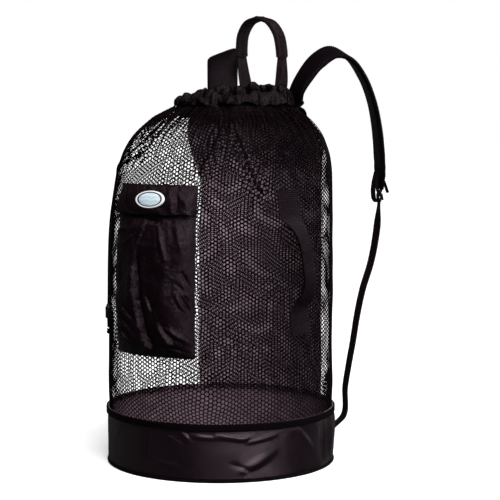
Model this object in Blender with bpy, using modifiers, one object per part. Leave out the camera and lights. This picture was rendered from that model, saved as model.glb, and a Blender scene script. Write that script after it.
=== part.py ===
"""Mesh dive gear bag: a cylindrical net backpack with a coated base, a gathered
collar, a front pocket, two padded shoulder straps and two carrying handles.

Metres, +Z up. The origin is the centre of the base on the floor, -Y is the front
with the pocket and +Y the back with the panel that carries the shoulder straps.
"""
import math

import bmesh
import bpy
import numpy as np
from mathutils import Matrix, Vector

# Driving dimensions, in metres; angles are in degrees about +Z from +X
GAP = 0.0004                 # clearance between pieces that touch
RING_STEPS = 48              # facets round the bag
CLOTH = 0.0015               # coated nylon
BAG_RADIUS = 0.210           # outer face of the net
NET_THICKNESS = 0.0016
NET_FOOT = 0.097             # lower edge of the net, inside the band
NET_TOP = 0.666              # upper edge of the net, at the collar
NET_COLUMNS = 15             # coarse gaps across and up the net
NET_ROWS = 6
NET_STRAND = 0.011
NET_LAP = 4.0                # how far the net runs under the back panel

BASE_THICKNESS = 0.003
PIPING_RADIUS = 0.0030
BAND_HEIGHT = 0.105
BAND_THICKNESS = 0.0018
BINDING_WIDTH = 0.012
BINDING_THICKNESS = 0.0022
BINDING_LIP = 0.0008         # how far the binding stands above the band
PIPING_MIDDLE = BAG_RADIUS + 3 * GAP + BAND_THICKNESS / 2

PANEL_ANGLE = 91.5
PANEL_WIDTH = 0.286
PANEL_THICKNESS = 0.0020
YOKE_WIDTH = 0.196
YOKE_HEIGHT = 0.056
YOKE_DROP = 0.008            # its upper edge below the net's
YOKE_THICKNESS = 0.0022
PANEL_OUT = 3 * GAP          # inner faces off the net's outer face
YOKE_OUT = PANEL_OUT + PANEL_THICKNESS + 3.5 * GAP
TOP_OF_YOKE = YOKE_OUT + YOKE_THICKNESS + 1.25 * GAP
SEAT_EASE = 1.00             # lift of a flat band on the rounded yoke, in sagittas

COLLAR_RADIUS = 0.110        # outer face of the net where the collar holds it
COLLAR_LEAN = 0.050          # how far the collar's centre lies behind the bag's
COLLAR_RISE = 0.031          # frill above the net's upper edge
COLLAR_SKIRT = 0.046         # cloth that hangs inside, below that edge
COLLAR_TILT = 0.011          # the back of the frill stands higher
SLACK_ANGLE = -150.0         # middle of the side where the frill has sunk in
SLACK_SPREAD = 46.0
SLACK_SINK = 0.40            # share of its height that it loses there
SLACK_DRAW = 0.020           # how far inside COLLAR_RADIUS it lies there, as a share
PLEATS = 15
PLEAT_DEPTH = 0.0034

POCKET_ANGLE = -98.0
POCKET_WIDTH = 0.186
POCKET_TOP = 0.526           # upper edge of the flap
POCKET_BOTTOM = 0.222
FLAP_HEIGHT = 0.053
FLAP_MARGIN = 0.0045
FLAP_PROUD = 0.0125
POUCH_PROUD = 0.024
POUCH_TUCK = 0.014           # how far the pouch runs up behind the flap
BADGE_WIDTH = 0.062
BADGE_HEIGHT = 0.031
BADGE_THICKNESS = 0.0022
BADGE_HEIGHT_AT = 0.4985

WEBBING = 0.025
WEBBING_THICKNESS = 0.0020
STRAP_WIDTH = 0.062
STRAP_THICKNESS = 0.0105
STRAP_SPREAD = 0.072         # strap's middle beside the bag's middle at the yoke
STRAP_REACH = 0.171          # how far a strap arches away from its foot
STRAP_RISE = 0.104           # how far it arches above the net's upper edge
STRAP_DIP = 0.45             # how much its outer edge dips on the way up
RIGHT_STRAP_BEARING = 34.0
LEFT_STRAP_BEARING = 118.0
BUCKLE_WIDTH = 0.034
BUCKLE_HEIGHT = 0.024
BUCKLE_THICKNESS = 0.0050
BUCKLE_RAIL = 0.0054         # bars across
BUCKLE_SIDE = 0.0038         # rails beside the webbing
RIGHT_TAB_ANGLE = 46.0
LEFT_TAB_ANGLE = 122.0
TAB_HEIGHT = 0.030           # where the webbing is sewn to the band
TAB_OUT = 0.011              # its middle off the net's outer face there
STRAP_SAMPLES = 24           # sections along a strap and its webbing
WEBBING_SAMPLES = 22

HANDLE_TOP = 0.838
HANDLE_SPAN = 0.094
HANDLE_LEAN = -0.006         # the loop's top leans to the left
HANDLE_FOOT_SPAN = 0.056
HANDLE_BACK = 0.185          # plane of the loop behind the bag's axis
HANDLE_SAMPLES = 18          # sections along half of the loop
GRIP_THICKNESS = 0.0026
GRIP_SECTIONS = slice(10, 25)

SIDE_HANDLE_TOP = 0.518
SIDE_HANDLE_BOTTOM = 0.257
SIDE_HANDLE_TOP_ANGLE = -28.5
SIDE_HANDLE_BOTTOM_ANGLE = -18.5
SIDE_HANDLE_WIDTH = 0.048
SIDE_HANDLE_FOLDED = 0.027
SIDE_HANDLE_PROUD = 0.034

CORD_DIAMETER = 0.0030
CORD_SAMPLES = 26
LOCK_WIDTH = 0.014
LOCK_HEIGHT = 0.026
LOCK_DEPTH = 0.010
LOCK_EASE = 0.0022
BORE_SIDES = 8
LOCK_AT = 0.290              # middle of the lock
KNOT_RADIUS = 0.0060

# Outline of the net from its foot to the collar. Height is a share of the net's
# height, spread of the radius between collar and band, lean of the collar's lean.
NET_OUTLINE = np.array([
    # height, spread, lean
    (0.00, 1.000, 0.00),
    (0.06, 1.015, 0.00),
    (0.25, 1.010, 0.00),
    (0.50, 1.010, 0.02),
    (0.64, 0.990, 0.10),
    (0.73, 0.955, 0.22),
    (0.80, 0.915, 0.36),
    (0.86, 0.825, 0.50),
    (0.915, 0.640, 0.66),
    (0.96, 0.370, 0.84),
    (1.00, 0.000, 1.00),
])

# Collar from the hem of its inner skirt up over the fold to the frill's hem.
# Out is a share of COLLAR_RADIUS, rise of COLLAR_RISE above the net's edge and
# of COLLAR_SKIRT below it, pleat of PLEAT_DEPTH.
COLLAR_OUTLINE = np.array([
    # out, rise, pleat
    (0.050, -1.00, 0.6),
    (-0.040, 0.00, 0.0),
    (-0.075, 0.45, 0.8),
    (-0.050, 0.92, 1.0),
    (0.015, 1.00, 1.0),
    (0.052, 0.55, 0.9),
    (0.040, 0.10, 0.5),
])

# Dents and swells of the coated band. Angle and half width in degrees, height and
# half height as shares of the band's height, out as a share of its thickness.
BAND_DENTS = np.array([
    # angle, height, half width, half height, out
    (-40.0, 0.28, 13.0, 0.30, -2.2),
    (-66.0, 0.72, 16.0, 0.18, -1.4),
    (-92.0, 0.60, 10.0, 0.24, -1.3),
    (28.0, 0.62, 12.0, 0.30, 2.0),
    (6.0, 0.40, 8.0, 0.40, -1.5),
    (-130.0, 0.45, 14.0, 0.30, -1.2),
    (150.0, 0.50, 18.0, 0.30, -1.8),
    (90.0, 0.40, 20.0, 0.30, -1.4),
])

# Folds of the pouch: ridges between two points, in shares of its half width from
# its middle and of its height from its top, with a width and a height in shares
# of its half width and of POUCH_PROUD.
POUCH_FOLDS = np.array([
    # across, down, across_end, down_end, width, out
    (-0.35, 0.10, -0.98, 0.26, 0.16, 0.30),
    (-0.38, 0.12, -0.55, 0.45, 0.14, 0.34),
    (-0.55, 0.45, -0.35, 0.84, 0.16, 0.30),
    (-0.10, 0.10, 0.10, 0.32, 0.15, 0.22),
    (-0.98, 0.70, -0.40, 0.90, 0.13, 0.24),
    (-0.28, 0.30, -0.16, 0.86, 0.18, -0.42),
    (0.62, 0.34, 0.92, 0.50, 0.12, -0.20),
    (0.30, 0.92, 0.90, 0.80, 0.14, 0.24),
    (-0.30, 0.06, 0.05, 0.06, 0.16, -0.40),
])

# Route of a padded strap from the yoke. Reach is a share of STRAP_REACH along the
# strap's bearing, rise of STRAP_RISE above the yoke, turn is how far its width has
# turned from across the back to square with the bearing, broad is a share of
# STRAP_WIDTH.
STRAP_ROUTE = np.array([
    # reach, rise, turn, broad
    (0.000, 0.02, 0.00, 0.80),
    (0.030, 0.26, 0.06, 0.86),
    (0.130, 0.56, 0.20, 0.96),
    (0.270, 0.84, 0.42, 1.00),
    (0.440, 1.00, 0.66, 1.00),
    (0.620, 0.90, 0.88, 1.00),
    (0.782, 0.56, 1.00, 1.00),
    (0.892, 0.12, 1.00, 1.00),
    (0.955, -0.36, 1.00, 1.00),
    (0.985, -0.82, 1.00, 0.98),
    (0.997, -1.26, 1.00, 0.94),
    (0.990, -1.55, 1.00, 0.70),
])

# Webbing from the buckle down to the band: along is the share of the way from the
# buckle to the tab, drop of the height between them, swing a share of STRAP_REACH
# across that way.
WEBBING_ROUTE = np.array([
    # along, drop, swing
    (0.00, 0.00, 0.000),
    (0.05, 0.13, 0.000),
    (0.16, 0.26, 0.000),
    (0.33, 0.38, 0.000),
    (0.42, 0.49, -0.010),
    (0.50, 0.60, -0.010),
    (0.60, 0.70, 0.000),
    (0.69, 0.80, 0.010),
    (0.75, 0.92, 0.030),
])

# One leg of the top handle from the collar up to the bow: across is a share of half
# the loop's span, rise of its height above the net's edge.
HANDLE_LEG = np.array([
    # across, rise
    (0.67, 0.20),
    (0.97, 0.46),
    (1.00, 0.66),
])

# Side handle from its upper to its lower end: along is the share of its height,
# proud of SIDE_HANDLE_PROUD, fold goes from flat to folded in half.
SIDE_HANDLE_ROUTE = np.array([
    # along, proud, fold
    (0.00, 0.00, 0.0),
    (0.11, 0.00, 0.0),
    (0.20, 0.10, 0.2),
    (0.27, 0.60, 0.7),
    (0.36, 0.92, 1.0),
    (0.50, 1.00, 1.0),
    (0.64, 0.92, 1.0),
    (0.73, 0.60, 0.7),
    (0.80, 0.10, 0.2),
    (0.89, 0.00, 0.0),
    (1.00, 0.00, 0.0),
])

# The two ends of the pocket's drawcord, by hand: degrees from the flap's left end,
# metres from the net's outer face and height.
CORD_ROUTES = {
    "pocket_cord_front": [
        # turn, out, height
        (0.0, 0.0020, 0.4950), (-1.4, 0.0032, 0.4946), (-4.4, 0.0060, 0.4892),
        (-6.6, 0.0056, 0.4780), (-7.9, 0.0050, 0.4600), (-8.6, 0.0046, 0.4350),
        (-8.9, 0.0044, 0.4050), (-8.9, 0.0043, 0.3750), (-8.6, 0.0044, 0.3450),
        (-8.2, 0.0050, 0.3180), (-8.0, 0.0062, 0.2980), (-8.0, 0.0070, 0.2820),
        (-8.35, 0.0070, 0.2600),
    ],
    "pocket_cord_back": [
        (0.0, 0.0020, 0.5050), (-1.6, 0.0034, 0.5046), (-5.2, 0.0066, 0.4992),
        (-7.8, 0.0062, 0.4870), (-9.4, 0.0054, 0.4680), (-10.4, 0.0048, 0.4400),
        (-10.9, 0.0045, 0.4080), (-10.9, 0.0044, 0.3760), (-10.5, 0.0046, 0.3460),
        (-9.9, 0.0054, 0.3190), (-9.6, 0.0064, 0.2990), (-9.6, 0.0070, 0.2820),
        (-9.30, 0.0070, 0.2600),
    ],
}

for old in list(bpy.data.objects):
    bpy.data.objects.remove(old, do_unlink=True)

PARTS = bpy.data.collections.new("mesh_dive_gear_bag")
CUTTERS = bpy.data.collections.new("cutters")
bpy.context.scene.collection.children.link(PARTS)
bpy.context.scene.collection.children.link(CUTTERS)


def finish(name, colour, roughness):
    """Material of one sub-part: dyed cloth, webbing or moulded plastic."""
    material = bpy.data.materials.new(name)
    material.use_nodes = True
    shader = material.node_tree.nodes["Principled BSDF"]
    shader.inputs["Base Color"].default_value = (*colour, 1.0)
    shader.inputs["Roughness"].default_value = roughness
    shader.inputs["Metallic"].default_value = 0.0
    return material


BLACK_NYLON = (0.020, 0.015, 0.018)
BLACK_WEBBING = (0.014, 0.011, 0.013)
BLACK_NET = (0.016, 0.013, 0.015)
BLACK_PLASTIC = (0.012, 0.012, 0.013)
BADGE_BLUE = (0.55, 0.66, 0.80)


def smooth(rows, share):
    """Values of a table at shares of its first column, by cubic Hermite curves."""
    share = np.clip(share, rows[0, 0], rows[-1, 0])
    slope = np.gradient(rows[:, 1:], rows[:, 0], axis=0)
    index = np.clip(np.searchsorted(rows[:, 0], share, side="right") - 1, 0, len(rows) - 2)
    step = (rows[index + 1, 0] - rows[index, 0])[..., None]
    t = (share - rows[index, 0])[..., None] / step
    start, end = rows[index, 1:], rows[index + 1, 1:]
    return ((2 * t**3 - 3 * t**2 + 1) * start + (t**3 - 2 * t**2 + t) * step * slope[index]
            + (3 * t**2 - 2 * t**3) * end + (t**3 - t**2) * step * slope[index + 1])


def curve_through(points, samples):
    """Points of a smooth curve through the route's own points, evenly spaced."""
    points = np.asarray(points, float)
    length = np.concatenate(([0.0], np.cumsum(np.linalg.norm(np.diff(points, axis=0), axis=1))))
    rows = np.column_stack((length, points))
    fine = smooth(rows, np.linspace(0.0, length[-1], samples * 8))
    run = np.concatenate(([0.0], np.cumsum(np.linalg.norm(np.diff(fine, axis=0), axis=1))))
    even = np.linspace(0.0, run[-1], samples)
    return np.column_stack([np.interp(even, run, fine[:, axis]) for axis in range(3)])


def ring_at(height):
    """Radius and backward lean of the bag's outline at a height."""
    share = (np.asarray(height, float) - NET_FOOT) / (NET_TOP - NET_FOOT)
    shape = smooth(NET_OUTLINE, share)
    radius = COLLAR_RADIUS + shape[..., 0] * (BAG_RADIUS - COLLAR_RADIUS)
    return radius, shape[..., 1] * COLLAR_LEAN


def on_bag(angle, height, out=0.0):
    """Points on the net's outer face, moved out along the bag's normal."""
    angle, height, out = np.broadcast_arrays(np.radians(angle), np.asarray(height, float), out)
    step = 0.001
    radius, lean = ring_at(height)
    above_radius, above_lean = ring_at(height + step)
    below_radius, below_lean = ring_at(height - step)
    slope = (above_radius - below_radius + (above_lean - below_lean) * np.sin(angle)) / (2 * step)
    steep = 1.0 / np.sqrt(1.0 + slope**2)
    point = np.stack((radius * np.cos(angle), lean + radius * np.sin(angle), height), -1)
    normal = np.stack((np.cos(angle) * steep, np.sin(angle) * steep, -slope * steep), -1)
    return point + normal * out[..., None]


def place(name, mesh, material):
    """Object of one sub-part with its material."""
    obj = bpy.data.objects.new(name, mesh)
    PARTS.objects.link(obj)
    mesh.materials.append(material)
    return obj


def shade(obj, sharp=35.0):
    """Smooth shading, except at edges sharper than an angle in degrees."""
    obj.data.shade_smooth()
    obj.data.set_sharp_from_angle(angle=math.radians(sharp))


def grid_faces(rows, columns, wrap=False):
    """Faces of a grid whose columns run anticlockwise and whose rows run up."""
    across = columns if wrap else columns - 1
    j, i = np.meshgrid(np.arange(rows - 1), np.arange(across), indexing="ij")
    right = (i + 1) % columns
    corners = (j * columns + i, j * columns + right, (j + 1) * columns + right, (j + 1) * columns + i)
    return np.stack(corners, -1).reshape(-1, 4).tolist()


def cloth(name, points, thickness, material, wrap=False):
    """A cloth wall: an open surface on a grid of points, thickened outwards."""
    rows, columns = points.shape[:2]
    mesh = bpy.data.meshes.new(name)
    mesh.from_pydata(points.reshape(-1, 3).tolist(), [], grid_faces(rows, columns, wrap))
    obj = place(name, mesh, material)
    shade(obj, 60.0)
    wall = obj.modifiers.new("wall", "SOLIDIFY")
    wall.thickness = thickness
    wall.offset = 1.0
    return obj


def loft(name, rings, material):
    """A closed solid through rings of points, capped at both ends."""
    rings = np.asarray(rings, float)
    count, sides = rings.shape[:2]
    faces = [face[::-1] for face in grid_faces(count, sides, wrap=True)]
    faces += [list(range(sides)), list(range(count * sides - 1, (count - 1) * sides - 1, -1))]
    mesh = bpy.data.meshes.new(name)
    mesh.from_pydata(rings.reshape(-1, 3).tolist(), [], faces)
    mesh_edit = bmesh.new()
    mesh_edit.from_mesh(mesh)
    bmesh.ops.recalc_face_normals(mesh_edit, faces=mesh_edit.faces)
    mesh_edit.to_mesh(mesh)
    mesh_edit.free()
    obj = place(name, mesh, material)
    shade(obj)
    return obj


def turned(name, profile, material):
    """A turned solid: a closed profile of radius and height, outer side first."""
    mesh = bpy.data.meshes.new(name)
    count = len(profile)
    edges = [(index, (index + 1) % count) for index in range(count)]
    mesh.from_pydata([(radius, 0.0, height) for radius, height in profile], edges, [])
    obj = place(name, mesh, material)
    screw = obj.modifiers.new("turn", "SCREW")
    screw.steps = RING_STEPS
    screw.render_steps = RING_STEPS
    screw.use_merge_vertices = True
    screw.merge_threshold = 0.00001
    return obj


def ribbon(centres, widths, breadth, thickness, corner=0.0):
    """Rings of a flat band along a path: four points each, or eight if eased."""
    tangent = np.gradient(centres, axis=0)
    tangent /= np.linalg.norm(tangent, axis=1, keepdims=True)
    across = widths - (widths * tangent).sum(1, keepdims=True) * tangent
    across /= np.linalg.norm(across, axis=1, keepdims=True)
    normal = np.cross(tangent, across)
    half = np.broadcast_to(np.asarray(breadth) / 2, len(centres))[:, None]
    thick = np.broadcast_to(np.asarray(thickness) / 2, len(centres))[:, None]
    ease = thick * corner
    if corner:
        spots = [(half - ease, thick), (half, thick - ease), (half, ease - thick),
                 (half - ease, -thick), (ease - half, -thick), (-half, ease - thick),
                 (-half, thick - ease), (ease - half, thick)]
    else:
        spots = [(half, thick), (half, -thick), (-half, -thick), (-half, thick)]
    return np.stack([centres + across * x + normal * y for x, y in spots], 1)


def flat_plate(name, outlines, thickness, material):
    """A flat plate cut to its outlines, the first one outside and the rest holes."""
    curve = bpy.data.curves.new(name, "CURVE")
    curve.dimensions = "2D"
    curve.fill_mode = "BOTH"
    curve.extrude = thickness / 2
    for outline in outlines:
        spline = curve.splines.new("POLY")
        spline.points.add(len(outline) - 1)
        for point, (x, y) in zip(spline.points, outline):
            point.co = (x, y, 0.0, 1.0)
        spline.use_cyclic_u = True
    obj = bpy.data.objects.new(name, curve)
    PARTS.objects.link(obj)
    curve.materials.append(material)
    return obj


def rounded_box(width, height, radius, across=0.0, up=0.0):
    """Outline of a rectangle with rounded corners."""
    points = []
    for quarter, (side, top) in enumerate(((1, 1), (-1, 1), (-1, -1), (1, -1))):
        for step in range(4):
            angle = math.radians(90 * quarter + 30 * step)
            points.append((across + side * (width / 2 - radius) + radius * math.cos(angle),
                           up + top * (height / 2 - radius) + radius * math.sin(angle)))
    return points


def half_angle(width):
    """Half of the angle that a width takes up on the bag's side, in degrees."""
    return math.degrees(width / 2 / BAG_RADIUS)


def base_disc(material):
    """The flat floor of the bag."""
    inner = PIPING_MIDDLE - 0.81 * PIPING_RADIUS - GAP
    profile = [(inner - 0.001, BASE_THICKNESS), (inner, BASE_THICKNESS - 0.001), (inner, 0.0)]
    mesh = bpy.data.meshes.new("base_disc")
    mesh_edit = bmesh.new()
    rings = []
    for radius, height in profile:
        made = bmesh.ops.create_circle(mesh_edit, cap_ends=False, radius=radius, segments=RING_STEPS,
                                       matrix=Matrix.Translation((0, 0, height)))
        rings.append(made["verts"])
    for upper, lower in zip(rings, rings[1:]):
        for index in range(RING_STEPS):
            after = (index + 1) % RING_STEPS
            mesh_edit.faces.new((upper[index], lower[index], lower[after], upper[after]))
    mesh_edit.faces.new(rings[0])
    mesh_edit.faces.new(rings[-1])
    bmesh.ops.recalc_face_normals(mesh_edit, faces=mesh_edit.faces)
    mesh_edit.to_mesh(mesh)
    mesh_edit.free()
    return place("base_disc", mesh, material)


def band_face(angle, height, out=0.0):
    """Points on the band's inner face, with its dents and swells."""
    angle, height = np.broadcast_arrays(np.asarray(angle, float), np.asarray(height, float))
    relief = np.zeros(angle.shape)
    for at, level, half_width, half_height, depth in BAND_DENTS:
        turn = (angle - at + 180.0) % 360.0 - 180.0
        rise = (height / BAND_HEIGHT - level) / half_height
        relief += depth * BAND_THICKNESS * np.exp(-(turn / half_width)**2 - rise**2)
    fade = np.clip((BAND_HEIGHT - BINDING_WIDTH - height) / (0.2 * BAND_HEIGHT), 0.0, 1.0)
    foot = np.clip((height - BASE_THICKNESS) / (0.15 * BAND_HEIGHT), 0.0, 1.0)
    belly = 0.8 * BAND_THICKNESS * np.sin(math.pi * np.clip(height / BAND_HEIGHT, 0.0, 1.0))
    radius = BAG_RADIUS + 3 * GAP + (relief + belly) * fade * foot + out
    turn = np.radians(angle)
    return np.stack((radius * np.cos(turn), radius * np.sin(turn), height), -1)


def around():
    """Angles of the facets round the bag."""
    return np.arange(RING_STEPS) * 360.0 / RING_STEPS


def base(cloth_finish, trim):
    """Floor, piping and coated band with the binding round its upper edge."""
    base_disc(cloth_finish)
    piping = [(PIPING_MIDDLE + PIPING_RADIUS * math.cos(turn), PIPING_RADIUS * (1 - math.sin(turn)))
              for turn in np.arange(5) * math.tau / 5]
    turned("base_piping", piping, trim)
    foot = 2 * PIPING_RADIUS
    heights = np.append(np.linspace(foot, BAND_HEIGHT - BINDING_WIDTH, 4), BAND_HEIGHT)
    points = band_face(around()[None, :], heights[:, None])
    cloth("base_band", points, BAND_THICKNESS, cloth_finish, wrap=True)
    inner = BAG_RADIUS + 3 * GAP + BAND_THICKNESS + 2 * GAP
    outer = inner + BINDING_THICKNESS
    low, high = BAND_HEIGHT - BINDING_WIDTH, BAND_HEIGHT + BINDING_LIP
    turned("band_binding", [(outer, high), (outer, low), (inner, low), (inner, high)], trim)


def net(material):
    """The net: a honeycomb sheet, each whole cell cut through, laid round the bag."""
    start = PANEL_ANGLE + half_angle(PANEL_WIDTH) - NET_LAP
    sweep = 360.0 - 2 * half_angle(PANEL_WIDTH) + 2 * NET_LAP
    strand = NET_STRAND / (BAG_RADIUS * math.radians(sweep))
    cell_width, cell_height = 1.0 / NET_COLUMNS, 1.0 / NET_ROWS
    radius = cell_width / 1.5
    mesh_edit = bmesh.new()
    for column in range(NET_COLUMNS + 1):
        for row in range(-1, NET_ROWS + 1):
            middle = Vector((column * cell_width, (row + 0.5 * (1 + column % 2)) * cell_height, 0.0))
            stretch = Matrix.Diagonal((1.0, cell_height / (radius * math.sqrt(3.0)), 1.0, 1.0))
            turn = Matrix.Rotation(math.radians(30.0), 4, "Z")
            bmesh.ops.create_circle(mesh_edit, cap_ends=True, radius=radius, segments=6,
                                    matrix=Matrix.Translation(middle) @ stretch @ turn)
    bmesh.ops.remove_doubles(mesh_edit, verts=mesh_edit.verts, dist=cell_width * 0.01)
    for corner, outward in (((0, 0, 0), (-1, 0, 0)), ((0, 0, 0), (0, -1, 0)),
                            ((1, 1, 0), (1, 0, 0)), ((1, 1, 0), (0, 1, 0))):
        geometry = mesh_edit.verts[:] + mesh_edit.edges[:] + mesh_edit.faces[:]
        bmesh.ops.bisect_plane(mesh_edit, geom=geometry, dist=0.00001, plane_co=corner,
                               plane_no=outward, clear_outer=True)
    cells = mesh_edit.faces[:]
    bmesh.ops.inset_individual(mesh_edit, faces=cells, thickness=strand / 2, use_even_offset=True)
    bmesh.ops.delete(mesh_edit, geom=cells, context="FACES")
    flat = np.array([vertex.co for vertex in mesh_edit.verts])
    angle = start + flat[:, 0] * sweep
    height = NET_FOOT + flat[:, 1] * (NET_TOP - NET_FOOT)
    for vertex, point in zip(mesh_edit.verts, on_bag(angle, height)):
        vertex.co = point
    bmesh.ops.recalc_face_normals(mesh_edit, faces=mesh_edit.faces)
    first = mesh_edit.faces[:][0]
    middle = first.calc_center_median()
    if first.normal.x * middle.x + first.normal.y * middle.y < 0:
        bmesh.ops.reverse_faces(mesh_edit, faces=mesh_edit.faces)
    mesh = bpy.data.meshes.new("mesh_body")
    mesh_edit.to_mesh(mesh)
    mesh_edit.free()
    obj = place("mesh_body", mesh, material)
    wall = obj.modifiers.new("wall", "SOLIDIFY")
    wall.thickness = NET_THICKNESS
    wall.offset = -1.0


def back(material, trim):
    """Solid back panel over the net's side edges, and the yoke that the straps share."""
    angles = PANEL_ANGLE + np.linspace(-1, 1, 12) * half_angle(PANEL_WIDTH)
    low, high = BAND_HEIGHT + BINDING_LIP + GAP, NET_TOP - 2 * GAP
    side, dome = np.linspace(0.0, 0.66, 6), np.linspace(0.72, 1.0, 10)
    heights = low + np.concatenate((side, dome)) * (high - low)
    points = on_bag(angles[None, :], heights[:, None], PANEL_OUT)
    cloth("back_panel", points, PANEL_THICKNESS, material)
    share = np.linspace(-1, 1, 11)[None, :] * YOKE_WIDTH / 2
    heights = (NET_TOP - YOKE_DROP - YOKE_HEIGHT * np.linspace(1, 0, 6))[:, None]
    radius, _ = ring_at(heights)
    angles = PANEL_ANGLE - np.degrees(np.arcsin(np.clip(share / radius, -0.95, 0.95)))
    cloth("strap_yoke", on_bag(angles[:, ::-1], heights, YOKE_OUT), YOKE_THICKNESS, trim)


def pleat(angle):
    """Uneven gathers round the collar, between -1 and 1."""
    turn = np.radians(angle)
    return (0.62 * np.sin(PLEATS * turn + 1.3 * np.sin(2 * turn + 0.6))
            + 0.38 * np.sin((PLEATS + 7) * turn + 1.9 * np.sin(3 * turn)))


def collar(material):
    """Gathered collar: a skirt inside the net, folded over into a pleated frill."""
    angle = np.arange(4 * PLEATS)[None, :] * 90.0 / PLEATS
    out, rise, depth = (COLLAR_OUTLINE[:, column][:, None] for column in range(3))
    slack = np.exp(-(((angle - SLACK_ANGLE + 180.0) % 360.0 - 180.0) / SLACK_SPREAD)**2)
    out = np.where(out > -SLACK_DRAW, out - slack * (out + SLACK_DRAW), out) + 0 * slack
    radius = COLLAR_RADIUS * (1 + out) + depth * PLEAT_DEPTH * pleat(angle)
    above = np.clip(rise, 0, 1) * (1 - SLACK_SINK * slack)
    height = NET_TOP + np.where(rise > 0, above * COLLAR_RISE, rise * COLLAR_SKIRT)
    height = height + above * (COLLAR_TILT * np.sin(np.radians(angle))
                               + 0.10 * COLLAR_RISE * pleat(angle + 40.0))
    turn = np.radians(angle)
    points = np.stack((radius * np.cos(turn), COLLAR_LEAN + radius * np.sin(turn),
                       np.broadcast_to(height, radius.shape)), -1)
    obj = cloth("collar", points, CLOTH, material, wrap=True)
    obj.data.flip_normals()


def ridge(across, down, fold):
    """Height of one fold of the pouch, a soft ridge along a line."""
    x0, y0, x1, y1, width, out = fold
    run = np.clip(((across - x0) * (x1 - x0) + (down - y0) * (y1 - y0))
                  / ((x1 - x0)**2 + (y1 - y0)**2), 0.0, 1.0)
    far = (across - x0 - run * (x1 - x0))**2 + (down - y0 - run * (y1 - y0))**2
    return out * np.exp(-far / width**2)


def pouch_out(across, down):
    """How far the pouch stands off the net, as shares of its half width and height."""
    side = 1 - np.abs(across)**4.5
    throat = 0.30 + 0.70 * np.clip((down - 0.06) / 0.20, 0, 1)**0.8
    foot = np.clip((1 - down) / 0.10, 0, 1)**0.5
    folds = sum(ridge(across, down, fold) for fold in POUCH_FOLDS)
    return POUCH_PROUD * side * foot * (0.82 * throat + folds * np.clip(down / 0.12, 0, 1))


def pocket(material, badge_material):
    """Billowing pouch, the flap over its mouth and the badge on the flap."""
    across = np.sin(np.linspace(-1, 1, 14) * math.pi / 2)[None, :]
    foot, mouth = np.linspace(1.0, 0.9, 3), np.array((0.10, 0.05, 0.0))
    down = np.concatenate((foot, np.linspace(0.82, 0.18, 9), mouth))[:, None]
    top = POCKET_TOP - FLAP_HEIGHT + POUCH_TUCK
    angle = POCKET_ANGLE + across * half_angle(POCKET_WIDTH)
    height = top - down * (top - POCKET_BOTTOM)
    points = on_bag(angle, height, GAP + pouch_out(across, down))
    cloth("pocket_pouch", points, CLOTH, material)

    flap_width = POCKET_WIDTH + 2 * FLAP_MARGIN
    across = np.sin(np.linspace(-1, 1, 13) * math.pi / 2)[None, :]
    rise = np.linspace(0, 1, 5)[:, None]
    angle = POCKET_ANGLE + across * half_angle(flap_width)
    height = POCKET_TOP - FLAP_HEIGHT * (1 - rise)
    cloth("pocket_flap", on_bag(angle, height, flap_out(across, rise)), CLOTH, material)

    spread = np.array([0.30, 0.72, 0.92, 1.0])
    dome = np.array([1.0, 0.90, 0.60, 0.0])
    turn = np.arange(20) * math.tau / 20
    x = spread[:, None] * np.cos(turn) * BADGE_WIDTH / 2
    z = BADGE_HEIGHT_AT + spread[:, None] * np.sin(turn) * BADGE_HEIGHT / 2
    angle = POCKET_ANGLE + np.degrees(x / BAG_RADIUS)
    share = (z - POCKET_TOP + FLAP_HEIGHT) / FLAP_HEIGHT
    half = flap_width / 2
    under = flap_out(x / half, share) + CLOTH + 2.5 * GAP
    crown = BADGE_THICKNESS * (0.5 + 0.5 * dome)[:, None]
    front = on_bag(angle, z, under + crown)
    rear = on_bag(angle, z, under)
    rings = np.concatenate((rear, front[::-1]))
    loft("oval_badge", rings, badge_material)


def flap_out(across, rise):
    """How far the flap stands off the net, from its hem at 0 to its seam at 1."""
    side = 1 - np.abs(across)**12
    slope = np.clip((1 - rise) / 0.62, 0, 1)
    return 2 * GAP + FLAP_PROUD * side * (slope * (2 - slope))


def bearing(angle):
    return np.array((math.cos(math.radians(angle)), math.sin(math.radians(angle)), 0.0))


def yoke_seat(across, width, thickness, shares):
    """Points of a band sewn flat on the yoke, beside the bag's middle, and their angles."""
    height = NET_TOP - YOKE_DROP - np.asarray(shares) * YOKE_HEIGHT
    radius, _ = ring_at(height)
    angle = PANEL_ANGLE - np.degrees(np.arcsin(across / radius))
    out = TOP_OF_YOKE + thickness / 2 + SEAT_EASE * width**2 / (8 * COLLAR_RADIUS)
    return on_bag(angle, height, out), angle


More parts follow.
